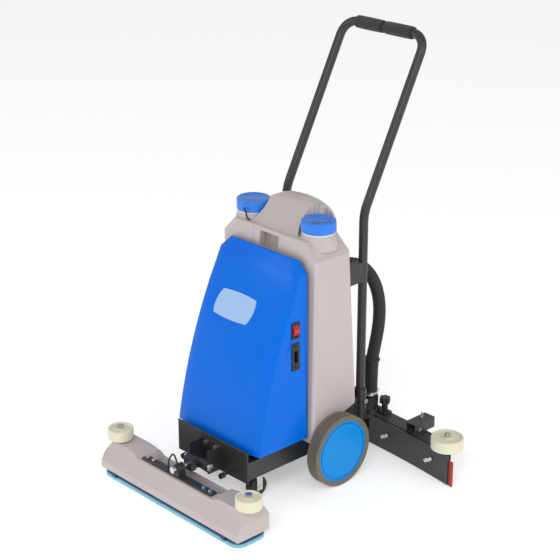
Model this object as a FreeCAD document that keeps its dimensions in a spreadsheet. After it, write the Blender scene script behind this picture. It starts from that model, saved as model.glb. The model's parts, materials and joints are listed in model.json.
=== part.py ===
# Walk-behind floor scrubber: pad head in front, two tanks amidships, squeegee behind.
# Millimetres. X is across the machine, -Y is forward, Z is up, z = 0 is the floor.
import FreeCAD, Part
import math
import os
import re

V = FreeCAD.Vector
doc = FreeCAD.newDocument("FloorScrubber")
sheet = doc.addObject("Spreadsheet::Sheet", "Sizes")

sizes = {
    # rear wheels
    "wheelDia": 180, "tyreWide": 32, "tyreThick": 12, "wheelFace": 196, "axleBack": 26, "axleDia": 15,
    "hubBossDia": 34, "discThick": 20, "pinGap": 0.05, "faceGap": 0.4,
    # chassis
    "railHalf": 125, "railLow": 72, "deckTop": 118, "sheetThick": 3, "chassisFront": -220,
    "chassisBack": 132,
    "plateLow": 64, "plateHigh": 143, "crossHalf": 150, "crossDeep": 40, "crossLow": 84,
    # tanks
    "tankHalf": 160, "tankSeam": -56, "seamGap": 1, "tankFront": -42, "tankRear": 107, "tankRearTop": 78,
    "tankTop": 618, "shoulder": 40, "tankWall": 4, "archStart": 0, "archHigh": 66, "humpHalf": 116,
    "humpTop": 686,
    "slotWide": 64, "slotLow": 556, "slotTall": 54, "slotDeep": 30,
    "neckX": 111, "neckY": 20, "neckDia": 74, "neckBore": 62, "neckTop": 652,
    "capDia": 83, "capTall": 26, "capTop": 661, "capWall": 3.5, "sealThick": 2.5,
    # hood
    "hoodHalfLow": 146, "hoodHalfHigh": 142, "hoodHalfTop": 116, "hoodLow": 133, "hoodShoulder": 550,
    "hoodTop": 578,
    "hoodFrontLow": -207, "hoodFrontTop": -52, "hoodBulge": 22, "hoodBack": -45, "hoodBevel": 42,
    "hoodBevelDeep": 7,
    "hoodWall": 3, "hoodPivotLift": 8, "hingeDia": 8, "hingeHalf": 55,
    "switchY": -85, "switchZ": 422, "switchWide": 24, "switchTall": 40, "socketY": -85, "socketZ": 357,
    "socketWide": 24, "socketTall": 68, "plateThick": 3,
    # under the hood
    "batteryWide": 118, "batteryDeep": 92, "batteryTall": 140, "batteryFront": -158, "batteryGap": 6,
    "vacDia": 74, "vacLong": 110, "vacZ": 342, "vacY": -88, "ductDia": 30,
    # handle
    "tubeDia": 22, "tubeWall": 2, "handleHalf": 132, "handleBack": 149, "handleTopBack": 349,
    "bendHigh": 650,
    "handleTop": 1041, "bendRadius": 90, "cornerRadius": 40, "gripDia": 32, "gripGap": 8, "gripEnd": 91,
    "socketDia": 30, "socketHigh": 196,
    # casters
    "casterX": 88, "casterY": -176, "casterDia": 50, "casterWide": 20, "casterTrail": 17, "casterPin": 8,
    # scrub head
    "headHalf": 250, "headFront": -364, "headBack": -267, "shellLow": 19, "shellHigh": 84, "shellMid": 76,
    "shellWall": 4, "padThick": 9, "padCorner": 26, "pocketHalf": 138, "pocketFront": -310,
    "pocketFloor": 62,
    "barHalf": 125, "barWide": 20, "barThick": 5, "barY": -325, "liftY": -263, "liftZ": 92, "liftPin": 12,
    "rollZ": 99, "earX": 31, "bumperX": 233, "bumperY": -314, "bumperDia": 63, "bumperWide": 28,
    "boltDia": 10,
    "headMotorDia": 42, "headMotorLong": 90,
    # squeegee
    "sqHalf": 374, "sqHalfBack": 331, "sqMidY": 235, "sqSweep": 27, "sqTop": 80, "sqDeep": 42,
    "bladeHalf": 387, "bladeThick": 4,
    "stripThick": 4, "portX": 80, "portY": 244, "portDia": 44, "knobX": 110, "knobY": 256, "knobDia": 28,
    "boxX": 231,
    "boxWide": 33, "boxLong": 70, "boxTall": 28, "sqBumperX": 346, "sqBumperDia": 80, "sqBumperWide": 30,
    "sqPivotY": 184, "sqPivotZ": 98, "sqPin": 10, "armX": 46,
    # vacuum hose
    "hoseDia": 32, "cuffDia": 46, "hoseX": 66, "hoseHigh": 505,
}
for row, (word, value) in enumerate(sizes.items(), 1):
    sheet.set(f"A{row}", str(value))
    sheet.setAlias(f"A{row}", word)
doc.recompute()

words = re.compile(r"\b(" + "|".join(sizes) + r")\b")
parts = []


class Cells:
    """Reads one driving size from the sheet, as a number."""

    def __getattr__(self, word):
        return float(sheet.get(word))


c = Cells()


def bind(obj, prop, rule):
    obj.setExpression(prop, words.sub(r"Sizes.\1", str(rule)))


def box(x, y, z):
    """A block between two rules along each axis."""
    obj = doc.addObject("Part::Box", "Block")
    for side, letter, (low, high) in zip(("Length", "Width", "Height"), "xyz", (x, y, z)):
        bind(obj, side, f"({high}) - ({low})")
        bind(obj, f"Placement.Base.{letter}", low)
    return obj


turns = {"z": FreeCAD.Rotation(), "x": FreeCAD.Rotation(V(0, 1, 0), 90), "y": FreeCAD.Rotation(V(1, 0, 0),
        -90)}


def along(obj, axis, low, high, across):
    obj.Placement = FreeCAD.Placement(V(), turns[axis])
    bind(obj, "Height", f"({high}) - ({low})")
    for letter, rule in zip([a for a in "xyz" if a != axis] + [axis], list(across) + [low]):
        bind(obj, f"Placement.Base.{letter}", rule)
    return obj


def rod(axis, dia, low, high, across):
    """A cylinder along an axis, at the other two coordinates."""
    obj = doc.addObject("Part::Cylinder", "Rod")
    bind(obj, "Radius", f"({dia}) / 2")
    return along(obj, axis, low, high, across)


def cone(axis, diaLow, diaHigh, low, high, across):
    obj = doc.addObject("Part::Cone", "Taper")
    bind(obj, "Radius1", f"({diaLow}) / 2")
    bind(obj, "Radius2", f"({diaHigh}) / 2")
    return along(obj, axis, low, high, across)


def join(*pieces):
    obj = doc.addObject("Part::MultiFuse", "Join")
    obj.Shapes = list(pieces)
    return obj


def cut(base, *tools):
    obj = doc.addObject("Part::Cut", "Cut")
    obj.Base = base
    obj.Tool = tools[0] if len(tools) == 1 else join(*tools)
    return obj


def solid(shape):
    obj = doc.addObject("Part::Feature", "Made")
    obj.Shape = shape
    return obj


def group(*pieces):
    """Separate solids that share one node."""
    obj = doc.addObject("Part::Compound", "Group")
    obj.Links = list(pieces)
    return obj


def node(label, obj):
    obj.Label = label
    parts.append(obj)
    return obj


def mirrorName(side):
    return "right" if side > 0 else "left"


def outline(points, axis, low, high):
    """A closed flat outline, extruded along an axis. Points give the other two coordinates in order."""
    place = {"x": lambda a, b: V(low, a, b), "y": lambda a, b: V(a, low, b), "z": lambda a,
             b: V(a, b, low)}[axis]
    way = {"x": V(1, 0, 0), "y": V(0, 1, 0), "z": V(0, 0, 1)}[axis]
    wire = Part.makePolygon([place(a, b) for a, b in points] + [place(*points[0])])
    return Part.Face(wire).extrude(way * (high - low))


def route(points, radius):
    """Straight runs joined by tangent arcs; radius(i, shorterRun, turn) gives each arc's radius."""
    edges = []
    at = points[0]
    for i in range(1, len(points) - 1):
        back = points[i - 1] - points[i]
        ahead = points[i + 1] - points[i]
        turn = math.pi - back.getAngle(ahead)
        r = radius(i, min(back.Length, ahead.Length), turn)
        reach = r * math.tan(turn / 2)
        back.normalize()
        ahead.normalize()
        start = points[i] + back * reach
        end = points[i] + ahead * reach
        middle = (back + ahead).normalize()
        top = points[i] + middle * (r / math.cos(turn / 2) - r)
        edges.append(Part.LineSegment(at, start).toShape())
        edges.append(Part.Arc(start, top, end).toShape())
        at = end
    edges.append(Part.LineSegment(at, points[-1]).toShape())
    return Part.Wire(edges)


def tube(points, dia, radius):
    """A round bar along a route."""
    spine = route(points, radius)
    way = (points[1] - points[0]).normalize()
    section = Part.Wire([Part.makeCircle(dia / 2, points[0], way)])
    return spine.makePipeShell([section], True, False), spine


def fixedBend(r):
    return lambda i, run, turn: r


# --- chassis: a folded steel tray, open below, with a taller front plate and a rear cross box ---
wheelZ = "wheelDia / 2"
tray = box(("-railHalf", "railHalf"), ("chassisFront", "chassisBack"), ("railLow", "deckTop"))
trayInside = box(("-railHalf + sheetThick", "railHalf - sheetThick"),
                 ("chassisFront + sheetThick", "chassisBack + 1"),
                 ("railLow - 1", "deckTop - sheetThick"))
frontPlate = box(("-railHalf", "railHalf"), ("chassisFront", "chassisFront + sheetThick"),
                 ("plateLow", "plateHigh"))
frontLip = rod("x", 5, "-railHalf", "railHalf", ("chassisFront + sheetThick / 2", "plateHigh"))
casterShelf = box(("-railHalf", "railHalf"), ("chassisFront", "casterY + 34"),
                  ("railLow", "railLow + sheetThick"))
crossBox = box(("-crossHalf", "crossHalf"), ("chassisBack - 4", "chassisBack + crossDeep - 4"),
               ("crossLow", "deckTop"))
crossInside = box(("-crossHalf - 1", "crossHalf + 1"), ("chassisBack - 4 + sheetThick",
                                                        "chassisBack + crossDeep - 4 - sheetThick"),
                  ("crossLow + sheetThick", "deckTop - sheetThick"))
axleHole = rod("x", "axleDia + 2 * pinGap", "-crossHalf - 20", "crossHalf + 20", ("axleBack", wheelZ))
welded = [cut(tray, trayInside), frontPlate, frontLip, casterShelf, cut(crossBox, crossInside)]

# wheel guards stand on the tray's edge, in the rising arch under each tank side
for side in (-1, 1):
    low, high = sorted((side * (c.tankHalf - 14), side * (c.tankHalf - 8)))
    arch = [(c.archStart + 4, c.deckTop), (c.tankRear, c.deckTop),
            (c.tankRear, c.deckTop + c.archHigh - 4),
            (c.archStart + 56, c.deckTop + c.archHigh - 20), (c.archStart + 30, c.deckTop + 30)]
    foot = outline([(c.archStart + 4, c.deckTop - 3), (c.tankRear, c.deckTop - 3),
                    (c.tankRear, c.deckTop), (c.archStart + 4, c.deckTop)],
                   "x", *sorted((side * c.railHalf, side * (c.tankHalf - 8))))
    welded.append(solid(outline(arch, "x", low, high).fuse(foot)))

node("axle", rod("x", "axleDia", "-wheelFace + 7.5", "wheelFace - 7.5", ("axleBack", wheelZ)))

# --- rear wheels: a solid tyre on a dished hub, running on a bush ---
for side in (-1, 1):
    name = mirrorName(side)
    centre = f"{side} * (wheelFace - tyreWide / 2)"
    at = ("axleBack", wheelZ)
    low = f"{centre} - tyreWide / 2"
    high = f"{centre} + tyreWide / 2"
    tyre = cut(rod("x", "wheelDia", low, high, at), rod("x", "wheelDia - 2 * tyreThick", f"{low} - 1",
                                                        f"{high} + 1", at))
    for step in (-2, -1, 0, 1, 2):
        groove = cut(rod("x", "wheelDia + 4", f"{centre} + {step * 4.6} - 0.9",
                         f"{centre} + {step * 4.6} + 0.9", at),
                     rod("x", "wheelDia - 3.5", f"{centre} + {step * 4.6} - 2",
                         f"{centre} + {step * 4.6} + 2", at))
        tyre = cut(tyre, groove)
    node(f"rear_tyre_{name}", tyre)
    rim = cut(rod("x", "wheelDia - 2 * tyreThick", f"{low} + 2", f"{high} - 2", at),
              rod("x", "wheelDia - 2 * tyreThick - 10", f"{low} + 1", f"{high} - 1", at))
    outerFace = f"{centre} + {side} * (tyreWide / 2 - 4)"
    innerFace = f"{outerFace} - {side} * discThick"
    faces = (innerFace, outerFace) if side > 0 else (outerFace, innerFace)
    disc = rod("x", "wheelDia - 2 * tyreThick - 8", *faces, at)
    bossEnds = ("1", "6") if side > 0 else ("6", "1")
    boss = rod("x", "hubBossDia", f"{low} + {bossEnds[0]}", f"{high} - {bossEnds[1]}", at)
    boreEnds = ("4", "1") if side < 0 else ("-1", "-4")
    bore = rod("x", "axleDia + 2 * pinGap", f"{low} + {boreEnds[0]}", f"{high} + {boreEnds[1]}", at)
    node(f"rear_hub_{name}", cut(join(rim, disc, boss), bore))

# --- tanks: two moulded shells side by side, split at a seam left of the middle ---
def tankBlock(inset):
    """Both tanks' outer form, shrunk by inset."""
    side = [(c.tankFront, c.deckTop), (c.archStart, c.deckTop), (c.archStart + 30, c.deckTop + 34),
            (c.archStart + 56, c.deckTop + c.archHigh - 16), (c.tankRear, c.deckTop + c.archHigh),
            (c.tankRearTop, c.tankTop - c.shoulder), (c.tankRearTop - 8, c.tankTop), (c.tankFront + 12,
                    c.tankTop),
            (c.tankFront + 6, c.tankTop - c.shoulder)]
    front = [(-c.tankHalf, c.deckTop), (c.tankHalf, c.deckTop), (c.tankHalf, c.tankTop - c.shoulder),
             (c.tankHalf - c.shoulder + 4, c.tankTop), (-c.tankHalf + c.shoulder - 4, c.tankTop),
             (-c.tankHalf, c.tankTop - c.shoulder)]
    shapes = []
    for points, axis, low, high in ((side, "x", -c.tankHalf - 5, c.tankHalf + 5),
                                    (front, "y", c.tankFront - 5, c.tankRear + 5)):
        flat = outline(points, axis, low, high)
        if inset:
            face = [f for f in flat.Faces if abs(f.CenterOfMass.dot(V(axis == "x", axis == "y",
                    0)) - low) < 0.01][0]
            wire = face.makeOffset2D(-inset).OuterWire
            flat = Part.Face(wire).extrude(V(high - low, 0, 0) if axis == "x" else V(0, high - low, 0))
        shapes.append(flat)
    return shapes[0].common(shapes[1])


def humpBlock(inset):
    """The raised back of the right tank, which bridges the seam."""
    w = c.humpHalf - inset
    top = c.humpTop - inset
    low = c.tankTop - 12
    ridge = [V(-w, 0, low), V(-w + 6, 0, low + 34), V(-w * 0.55, 0, top - 12), V(0, 0, top),
             V(w * 0.6, 0, top - 5),
             V(w - 12, 0, top - 22), V(w, 0, low + 30), V(w, 0, low)]
    curve = Part.BSplineCurve()
    curve.interpolate(ridge[1:7])
    edges = [Part.LineSegment(ridge[0], ridge[1]).toShape(), curve.toShape(), Part.LineSegment(ridge[6],
            ridge[7]).toShape(),
             Part.LineSegment(ridge[7], ridge[0]).toShape()]
    face = Part.Face(Part.Wire(edges))
    face.translate(V(0, c.tankFront, 0))
    body = face.extrude(V(0, c.tankRear - c.tankFront, 0))
    lean = [(c.tankFront + 14 + inset, low), (c.tankRearTop - 60, c.humpTop - 30 - inset),
            (c.tankRearTop - 38, c.humpTop - 6 - inset),
            (c.tankRearTop - 16, c.humpTop + 5), (c.tankRearTop - 4 - inset, c.humpTop + 5),
            (c.tankRearTop - 2 - inset, low)]
    body = body.common(outline(lean, "x", -w - 5, w + 5))
    for x in (-c.neckX, c.neckX):
        body = body.cut(Part.makeCylinder(c.capDia / 2 + 6 + inset, 200, V(x, c.neckY, c.tankTop - 20)))
    return body


outer = tankBlock(0)
inner = tankBlock(c.tankWall)
upright = [e for e in outer.Edges
           if abs(e.tangentAt(e.FirstParameter).z) > 0.9 and abs(abs(e.CenterOfMass.x) - c.tankHalf) < 1]
outer = outer.makeFillet(9, upright)
seamLeft = c.tankSeam - c.seamGap / 2
seamRight = c.tankSeam + c.seamGap / 2
wide = 4 * c.tankHalf


def leftOf(x):
    return Part.makeBox(wide, wide, wide, V(x - wide, -wide / 2, 0))


def rightOf(x):
    return Part.makeBox(wide, wide, wide, V(x, -wide / 2, 0))


def neck(side, dia, low):
    return Part.makeCylinder(dia / 2, c.neckTop - low, V(side * c.neckX, c.neckY, low))


leftShell = outer.common(leftOf(seamLeft)).fuse(neck(-1, c.neckDia, c.tankTop - 20))
leftRoom = inner.common(leftOf(seamLeft - c.tankWall)).fuse(neck(-1, c.neckBore, c.tankTop - 30))
leftRoom = leftRoom.fuse(Part.makeCylinder(c.neckBore / 2, 20, V(-c.neckX, c.neckY, c.neckTop - 10)))
node("solution_tank", solid(leftShell.cut(leftRoom)))

overhang = Part.makeBox(wide, wide, c.tankTop + 0.5, V(seamRight - wide, -wide / 2, 0))
hump = humpBlock(0).cut(overhang)
roomSide = seamRight + c.tankWall - wide
humpRoom = humpBlock(c.tankWall)
humpRoom = humpRoom.cut(Part.makeBox(wide, wide, c.tankTop + 0.5 + c.tankWall, V(roomSide, -wide / 2, 0)))
slotBox = Part.makeBox(c.slotWide, c.slotDeep, c.slotTall, V(-c.slotWide / 2, c.tankFront, c.slotLow))
slotWalls = Part.makeBox(c.slotWide + 2 * c.tankWall, c.slotDeep + c.tankWall,
                         c.slotTall + 2 * c.tankWall,
                         V(-c.slotWide / 2 - c.tankWall, c.tankFront, c.slotLow - c.tankWall))
slotCut = Part.makeBox(c.slotWide, c.slotDeep + 20, c.slotTall, V(-c.slotWide / 2, c.tankFront - 20,
        c.slotLow))
rightShell = outer.common(rightOf(seamRight)).fuse(hump).fuse(neck(1, c.neckDia, c.tankTop - 20))
rightRoom = inner.common(rightOf(seamRight + c.tankWall)).fuse(humpRoom).cut(slotWalls)
rightRoom = rightRoom.fuse(Part.makeCylinder(c.neckBore / 2, c.neckTop - c.tankTop + 40,
                                             V(c.neckX, c.neckY, c.tankTop - 30)))
hoseHole = Part.makeCylinder(c.cuffDia / 2 - 5, 40, V(c.hoseX, c.tankRearTop - 20, c.hoseHigh),
                             V(0, 1, 0))
ductHole = Part.makeCylinder(c.ductDia / 2, 40, V(c.vacLong / 2 + 26, c.tankFront - 20, c.vacZ),
                             V(0, 1, 0))
node("recovery_tank", solid(rightShell.cut(rightRoom).cut(slotCut).cut(hoseHole).cut(ductHole)))

# --- filler caps, each with its sealing ring ---
for side in (-1, 1):
    name = mirrorName(side)
    at = (f"{side} * neckX", "neckY")
    skirt = rod("z", "capDia", "capTop - capTall", "capTop - 2", at)
    crown = cone("z", "capDia", "capDia - 5", "capTop - 2", "capTop", at)
    room = rod("z", "neckDia + 1.2", "capTop - capTall - 1", "capTop - capWall", at)
    knurls = []
    for i in range(24):
        angle = math.radians(15 * i)
        rib = (f"{side} * neckX + (capDia / 2 + 0.2) * {math.cos(angle):.4f}",
               f"neckY + (capDia / 2 + 0.2) * {math.sin(angle):.4f}")
        knurls.append(rod("z", "2.4", "capTop - capTall", "capTop - 5", rib))
    node(f"cap_{name}", cut(join(skirt, crown, *knurls), room))
    node(f"cap_seal_{name}", cut(rod("z", "neckDia", "neckTop", "neckTop + sealThick", at),
                                 rod("z", "neckBore + 2", "neckTop - 1", "neckTop + 10", at)))
tether = tube([V(-c.neckX + 30, c.tankFront + 22, c.tankTop + 1.6), V(-c.neckX + 26, c.tankFront + 16,
        c.tankTop + 8),
               V(-c.neckX + 22, c.neckY - c.capDia / 2 - 3, c.tankTop + 20),
               V(-c.neckX + 14, c.neckY - c.capDia / 2 - 3, c.tankTop + 30)],
              4, lambda i, run, turn: 0.4 * run / math.tan(turn / 2))[0]
node("cap_tether", solid(tether))

# --- hood: a bowed cover hinged at its lower front edge ---
hoodTall = c.hoodTop - c.hoodLow
hoodKnee = (c.hoodShoulder - c.hoodLow) / hoodTall
hoodLevels = ([hoodKnee * i / 4 for i in range(5)], [hoodKnee, (hoodKnee + 1) / 2, 1])


def hoodSection(t, wall):
    z = c.hoodLow + t * hoodTall
    if t < hoodKnee:
        half = c.hoodHalfLow + (c.hoodHalfHigh - c.hoodHalfLow) * t / hoodKnee
    else:
        half = c.hoodHalfHigh + (c.hoodHalfTop - c.hoodHalfHigh) * (t - hoodKnee) / (1 - hoodKnee)
    front = c.hoodFrontLow + (c.hoodFrontTop - c.hoodFrontLow) * t - 4 * c.hoodBulge * t * (1 - t) + wall
    corner = min(front + c.hoodBevelDeep, c.hoodBack - 3)
    bevel = c.hoodBevel * (1 - 0.45 * t)
    half -= wall
    back = c.hoodBack if wall == 0 else c.hoodBack + 20
    points = [V(-half, back, z), V(-half, corner, z), V(-half + bevel, front, z), V(half - bevel, front,
            z),
              V(half, corner, z), V(half, back, z)]
    return Part.makePolygon(points + [points[0]])


def hoodBody(wall, lower, upper):
    lofts = [Part.makeLoft([hoodSection(t, wall) for t in levels], True, False) for levels in hoodLevels]
    body = lofts[0].fuse(lofts[1])
    if wall:
        body = body.common(Part.makeBox(wide, wide, upper - lower, V(-wide / 2, -wide / 2, lower)))
    return body


hoodLean = math.degrees(math.atan2(c.hoodHalfLow - c.hoodHalfHigh, c.hoodShoulder - c.hoodLow))


def hoodSide(z):
    """The hood's half width at a height."""
    return c.hoodHalfLow - (c.hoodHalfLow - c.hoodHalfHigh) * (z - c.hoodLow) / (c.hoodShoulder - c.hoodLow)


def onHood(shape, y, z):
    """Turns a shape whose +X faces outward onto the hood's right side."""
    shape.Placement = FreeCAD.Placement(V(hoodSide(z), y, z), FreeCAD.Rotation(V(0, 1, 0), -hoodLean))
    return shape


def block(x, y, z):
    return Part.makeBox(x[1] - x[0], y[1] - y[0], z[1] - z[0], V(x[0], y[0], z[0]))


def plate(wideY, tallZ, low, high):
    return block((low, high), (-wideY / 2, wideY / 2), (-tallZ / 2, tallZ / 2))


hoodOuter = hoodBody(0, 0, 0)
hoodInner = hoodBody(c.hoodWall, c.hoodLow, c.hoodTop - c.hoodWall)
hoodShell = hoodOuter.cut(hoodInner)
hoodShell = hoodShell.cut(onHood(plate(c.switchWide - 5, c.switchTall - 5, -12, 12), c.switchY,
                                 c.switchZ))
hoodShell = hoodShell.cut(onHood(plate(c.socketWide - 5, c.socketTall - 30, -12, 12), c.socketY,
                                 c.socketZ))
screwHeights = [s * (c.socketTall / 2 - 8) for s in (-1, 1)]
for z in screwHeights:
    hole = Part.makeCylinder(2, 30, V(-15, 0, z), V(1, 0, 0))
    hoodShell = hoodShell.cut(onHood(hole, c.socketY, c.socketZ))
node("hood", solid(hoodShell))

bezel = plate(c.switchWide, c.switchTall, 0.2, c.plateThick)
bezel = bezel.fuse(plate(c.switchWide - 5.5, c.switchTall - 5.5, -14, 0.2))
bezel = bezel.cut(plate(c.switchWide - 8, c.switchTall - 9, -10, 10))
rockerWide = c.switchWide - 8.6
rockerTall = c.switchTall - 10
trunnion = rockerWide + 2
bezel = bezel.cut(Part.makeCylinder(1.5 + c.pinGap, trunnion + 0.1, V(-1, -trunnion / 2 - 0.05, 0),
                                    V(0, 1, 0)))
node("switch_housing", solid(onHood(bezel, c.switchY, c.switchZ)))
rocker = Part.makeCylinder(rockerTall * 0.62, rockerWide, V(-rockerTall * 0.5 + 3.5, -rockerWide / 2, 0),
                           V(0, 1, 0))
rocker = rocker.common(plate(rockerWide, rockerTall, -4, 9))
rocker = rocker.fuse(Part.makeCylinder(1.5, trunnion, V(-1, -trunnion / 2, 0), V(0, 1, 0)))
node("power_rocker", solid(onHood(rocker, c.switchY, c.switchZ)))
inlet = plate(c.socketWide, c.socketTall, 0.2, c.plateThick)
inlet = inlet.fuse(plate(c.socketWide - 5.5, c.socketTall - 30.5, -18, 0.2))
inlet = inlet.cut(plate(c.socketWide - 12, c.socketTall - 38, -12, 10))
for z in screwHeights:
    inlet = inlet.cut(Part.makeCylinder(2, 30, V(-15, 0, z), V(1, 0, 0)))
inletPlate = solid(onHood(inlet, c.socketY, c.socketZ))
screws = []
for z in screwHeights:
    screw = Part.makeCylinder(3.6, 2, V(c.plateThick + 0.02, 0, z), V(1, 0, 0))
    screw = screw.fuse(Part.makeCylinder(1.95, 9, V(c.plateThick - 9 + 0.02, 0, z), V(1, 0, 0)))
    screws.append(solid(onHood(screw, c.socketY, c.socketZ)))
node("charger_inlet", group(inletPlate, *screws))

# hood hinge: a pin along the front edge, knuckles turn about it with the hood
hingeY = "hoodFrontLow + 6"
hingeZ = "hoodLow - hoodPivotLift"
middle = join(rod("x", "hingeDia + 5", "-hingeHalf + 20", "hingeHalf - 20", (hingeY, hingeZ)),
              box(("-hingeHalf + 20", "hingeHalf - 20"), (f"{hingeY} - 5", f"{hingeY} + 1"),
                  (hingeZ, "hoodLow - 0.2")))
ends = [join(rod("x", "hingeDia + 5", low, high, (hingeY, hingeZ)),
             box((low, high), (f"{hingeY} - 1", f"{hingeY} + 6"), ("deckTop", hingeZ)))
        for low, high in (("-hingeHalf", "-hingeHalf + 19.6"), ("hingeHalf - 19.6", "hingeHalf"))]
pinHole = rod("x", "hingeDia + 2 * pinGap", "-hingeHalf - 5", "hingeHalf + 5", (hingeY, hingeZ))
node("hood_hinge_flap", cut(middle, pinHole))
hingePin = rod("x", "hingeDia", "-hingeHalf", "hingeHalf", (hingeY, hingeZ))
welded += [cut(e, rod("x", "hingeDia", "-hingeHalf - 5", "hingeHalf + 5",
                      (hingeY, hingeZ))) for e in ends]
pins = [hingePin]

# --- under the hood: batteries on the deck, vacuum motor and duct, pump, control box ---
batteryBack = "batteryFront + batteryDeep"
batteries = []
for side in (-1, 1):
    low, high = ("batteryGap / 2",
                 "batteryGap / 2 + batteryWide") if side > 0 else ("-batteryGap / 2 - batteryWide",
                         "-batteryGap / 2")
    case = box((low, high), ("batteryFront", batteryBack), ("deckTop", "deckTop + batteryTall"))
    posts = [rod("z", 12, "deckTop + batteryTall", "deckTop + batteryTall + 8",
                 (f"{low} + {x} * batteryWide", "batteryFront + 16"))
             for x in (0.15, 0.85)]
    batteries.append(join(case, *posts))
node("batteries", group(*batteries))
strapOver = box(("-batteryWide - batteryGap / 2 - 1.8", "batteryWide + batteryGap / 2 + 1.8"),
                ("batteryFront + 40", "batteryFront + 60"),
                ("deckTop", "deckTop + batteryTall + 1.8"))
strapInside = box(("-batteryWide - batteryGap / 2 - 0.2", "batteryWide + batteryGap / 2 + 0.2"),
                  ("batteryFront + 39", "batteryFront + 61"),
                  ("deckTop - 1", "deckTop + batteryTall + 0.2"))
node("battery_strap", cut(strapOver, strapInside))

vacAcross = ("vacY", "vacZ")
vacBody = join(rod("x", "vacDia", "-vacLong / 2", "vacLong / 2", vacAcross), rod("x", "vacDia - 22",
        "-vacLong / 2 - 16", "-vacLong / 2", vacAcross))
vacFoot = box(("-vacLong / 2 + 10", "vacLong / 2 - 10"), ("vacY + 10", "tankFront - 0.9"),
              ("vacZ - 12", "vacZ + 12"))
ductX = "vacLong / 2 + 26"
duct = join(rod("x", "ductDia", "vacLong / 2 + 0.2", ductX, vacAcross),
            rod("y", "ductDia - 0.6", "vacY", "tankFront + 2", (ductX, "vacZ")))
bracketPlate = box(("-vacLong / 2 + 4", "vacLong / 2 - 4"), ("tankFront - 0.8", "tankFront + 2"),
                   ("vacZ - 40", "vacZ + 40"))
node("vacuum_motor", group(join(vacBody, vacFoot), duct, bracketPlate))
pumpBody = join(rod("x", 44, -118, -62, ("batteryFront + 66", "deckTop + batteryTall + 30")),
                box((-110, -70), ("batteryFront + 50", "batteryFront + 82"), ("deckTop + batteryTall + 2",
                        "deckTop + batteryTall + 20")))
node("water_pump", pumpBody)
node("control_box", cut(box((12, 96), ("tankFront - 27", "tankFront + 3.2"), ("vacZ + 52", "vacZ + 132")),
                        box((15, 93), ("tankFront - 24", "tankFront + 0.2"),
                            ("vacZ + 55", "vacZ + 129"))))

# --- handle: one bent tube in two sockets, with two foam grips ---
def handlePath():
    low = c.deckTop + 3
    points = [V(-c.handleHalf, c.handleBack, low), V(-c.handleHalf, c.handleBack, c.bendHigh),
              V(-c.handleHalf, c.handleTopBack, c.handleTop), V(c.handleHalf, c.handleTopBack,
                      c.handleTop),
              V(c.handleHalf, c.handleBack, c.bendHigh), V(c.handleHalf, c.handleBack, low)]
    bends = {1: c.bendRadius, 2: c.cornerRadius, 3: c.cornerRadius, 4: c.bendRadius}
    return points, lambda i, run, turn: bends[i]


handleOuter = tube(*[handlePath()[0], c.tubeDia, handlePath()[1]])[0]
handleInner = tube(*[handlePath()[0], c.tubeDia - 2 * c.tubeWall, handlePath()[1]])[0]
handleSolid = solid(handleOuter.cut(handleInner))
grips = []
topAt = ("handleTopBack", "handleTop")
for side in (-1, 1):
    low, high = ("gripGap / 2", "gripEnd") if side > 0 else ("-gripEnd", "-gripGap / 2")
    foam = join(rod("x", "gripDia - 3", low, high, topAt), rod("x", "gripDia", f"{low} + 2",
            f"{high} - 2", topAt))
    grips.append(cut(foam, rod("x", "tubeDia + 2 * pinGap", f"{low} - 1", f"{high} + 1", topAt)))
    socketAt = (f"{side} * handleHalf", "handleBack")
    collar = join(rod("z", "socketDia", "deckTop", "socketHigh", socketAt),
                  box((f"{side} * handleHalf - 5", f"{side} * handleHalf + 5"), ("handleBack - 24",
                          "handleBack"), ("deckTop", "socketHigh - 18")))
    bore = rod("z", "tubeDia + 2 * pinGap", "deckTop - 1", "socketHigh + 1", socketAt)
    boltHole = rod("x", 8, f"{side} * handleHalf - 30", f"{side} * handleHalf + 30",
                   ("handleBack", "socketHigh - 30"))
    welded.append(cut(collar, bore, boltHole))
node("grips", group(*grips))
heads = []
for side in (-1, 1):
    for way in (-1, 1):
        low = f"{side} * handleHalf + {way} * socketDia / 2"
        span = (low, f"{low} + 6") if way > 0 else (f"{low} - 6", low)
        heads.append(rod("x", 13, *span, ("handleBack", "socketHigh - 30")))
braces = []
for side in (-1, 1):
    arm = box((f"{side} * handleHalf - 9", f"{side} * handleHalf + 9"), ("tankRearTop + 1",
            "handleBack - tubeDia / 2 + 4"), ("hoseHigh - 24", "hoseHigh + 26"))
    braces.append(cut(arm, rod("z", "tubeDia - 1", 400, 600, (f"{side} * handleHalf", "handleBack")),
                      box((f"{side} * handleHalf - 12", f"{side} * handleHalf + 12"), ("tankRearTop - 20",
                              "tankRearTop + 7.6"), (400, 600))))
node("handle_tube", join(handleSolid, *braces))

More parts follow.
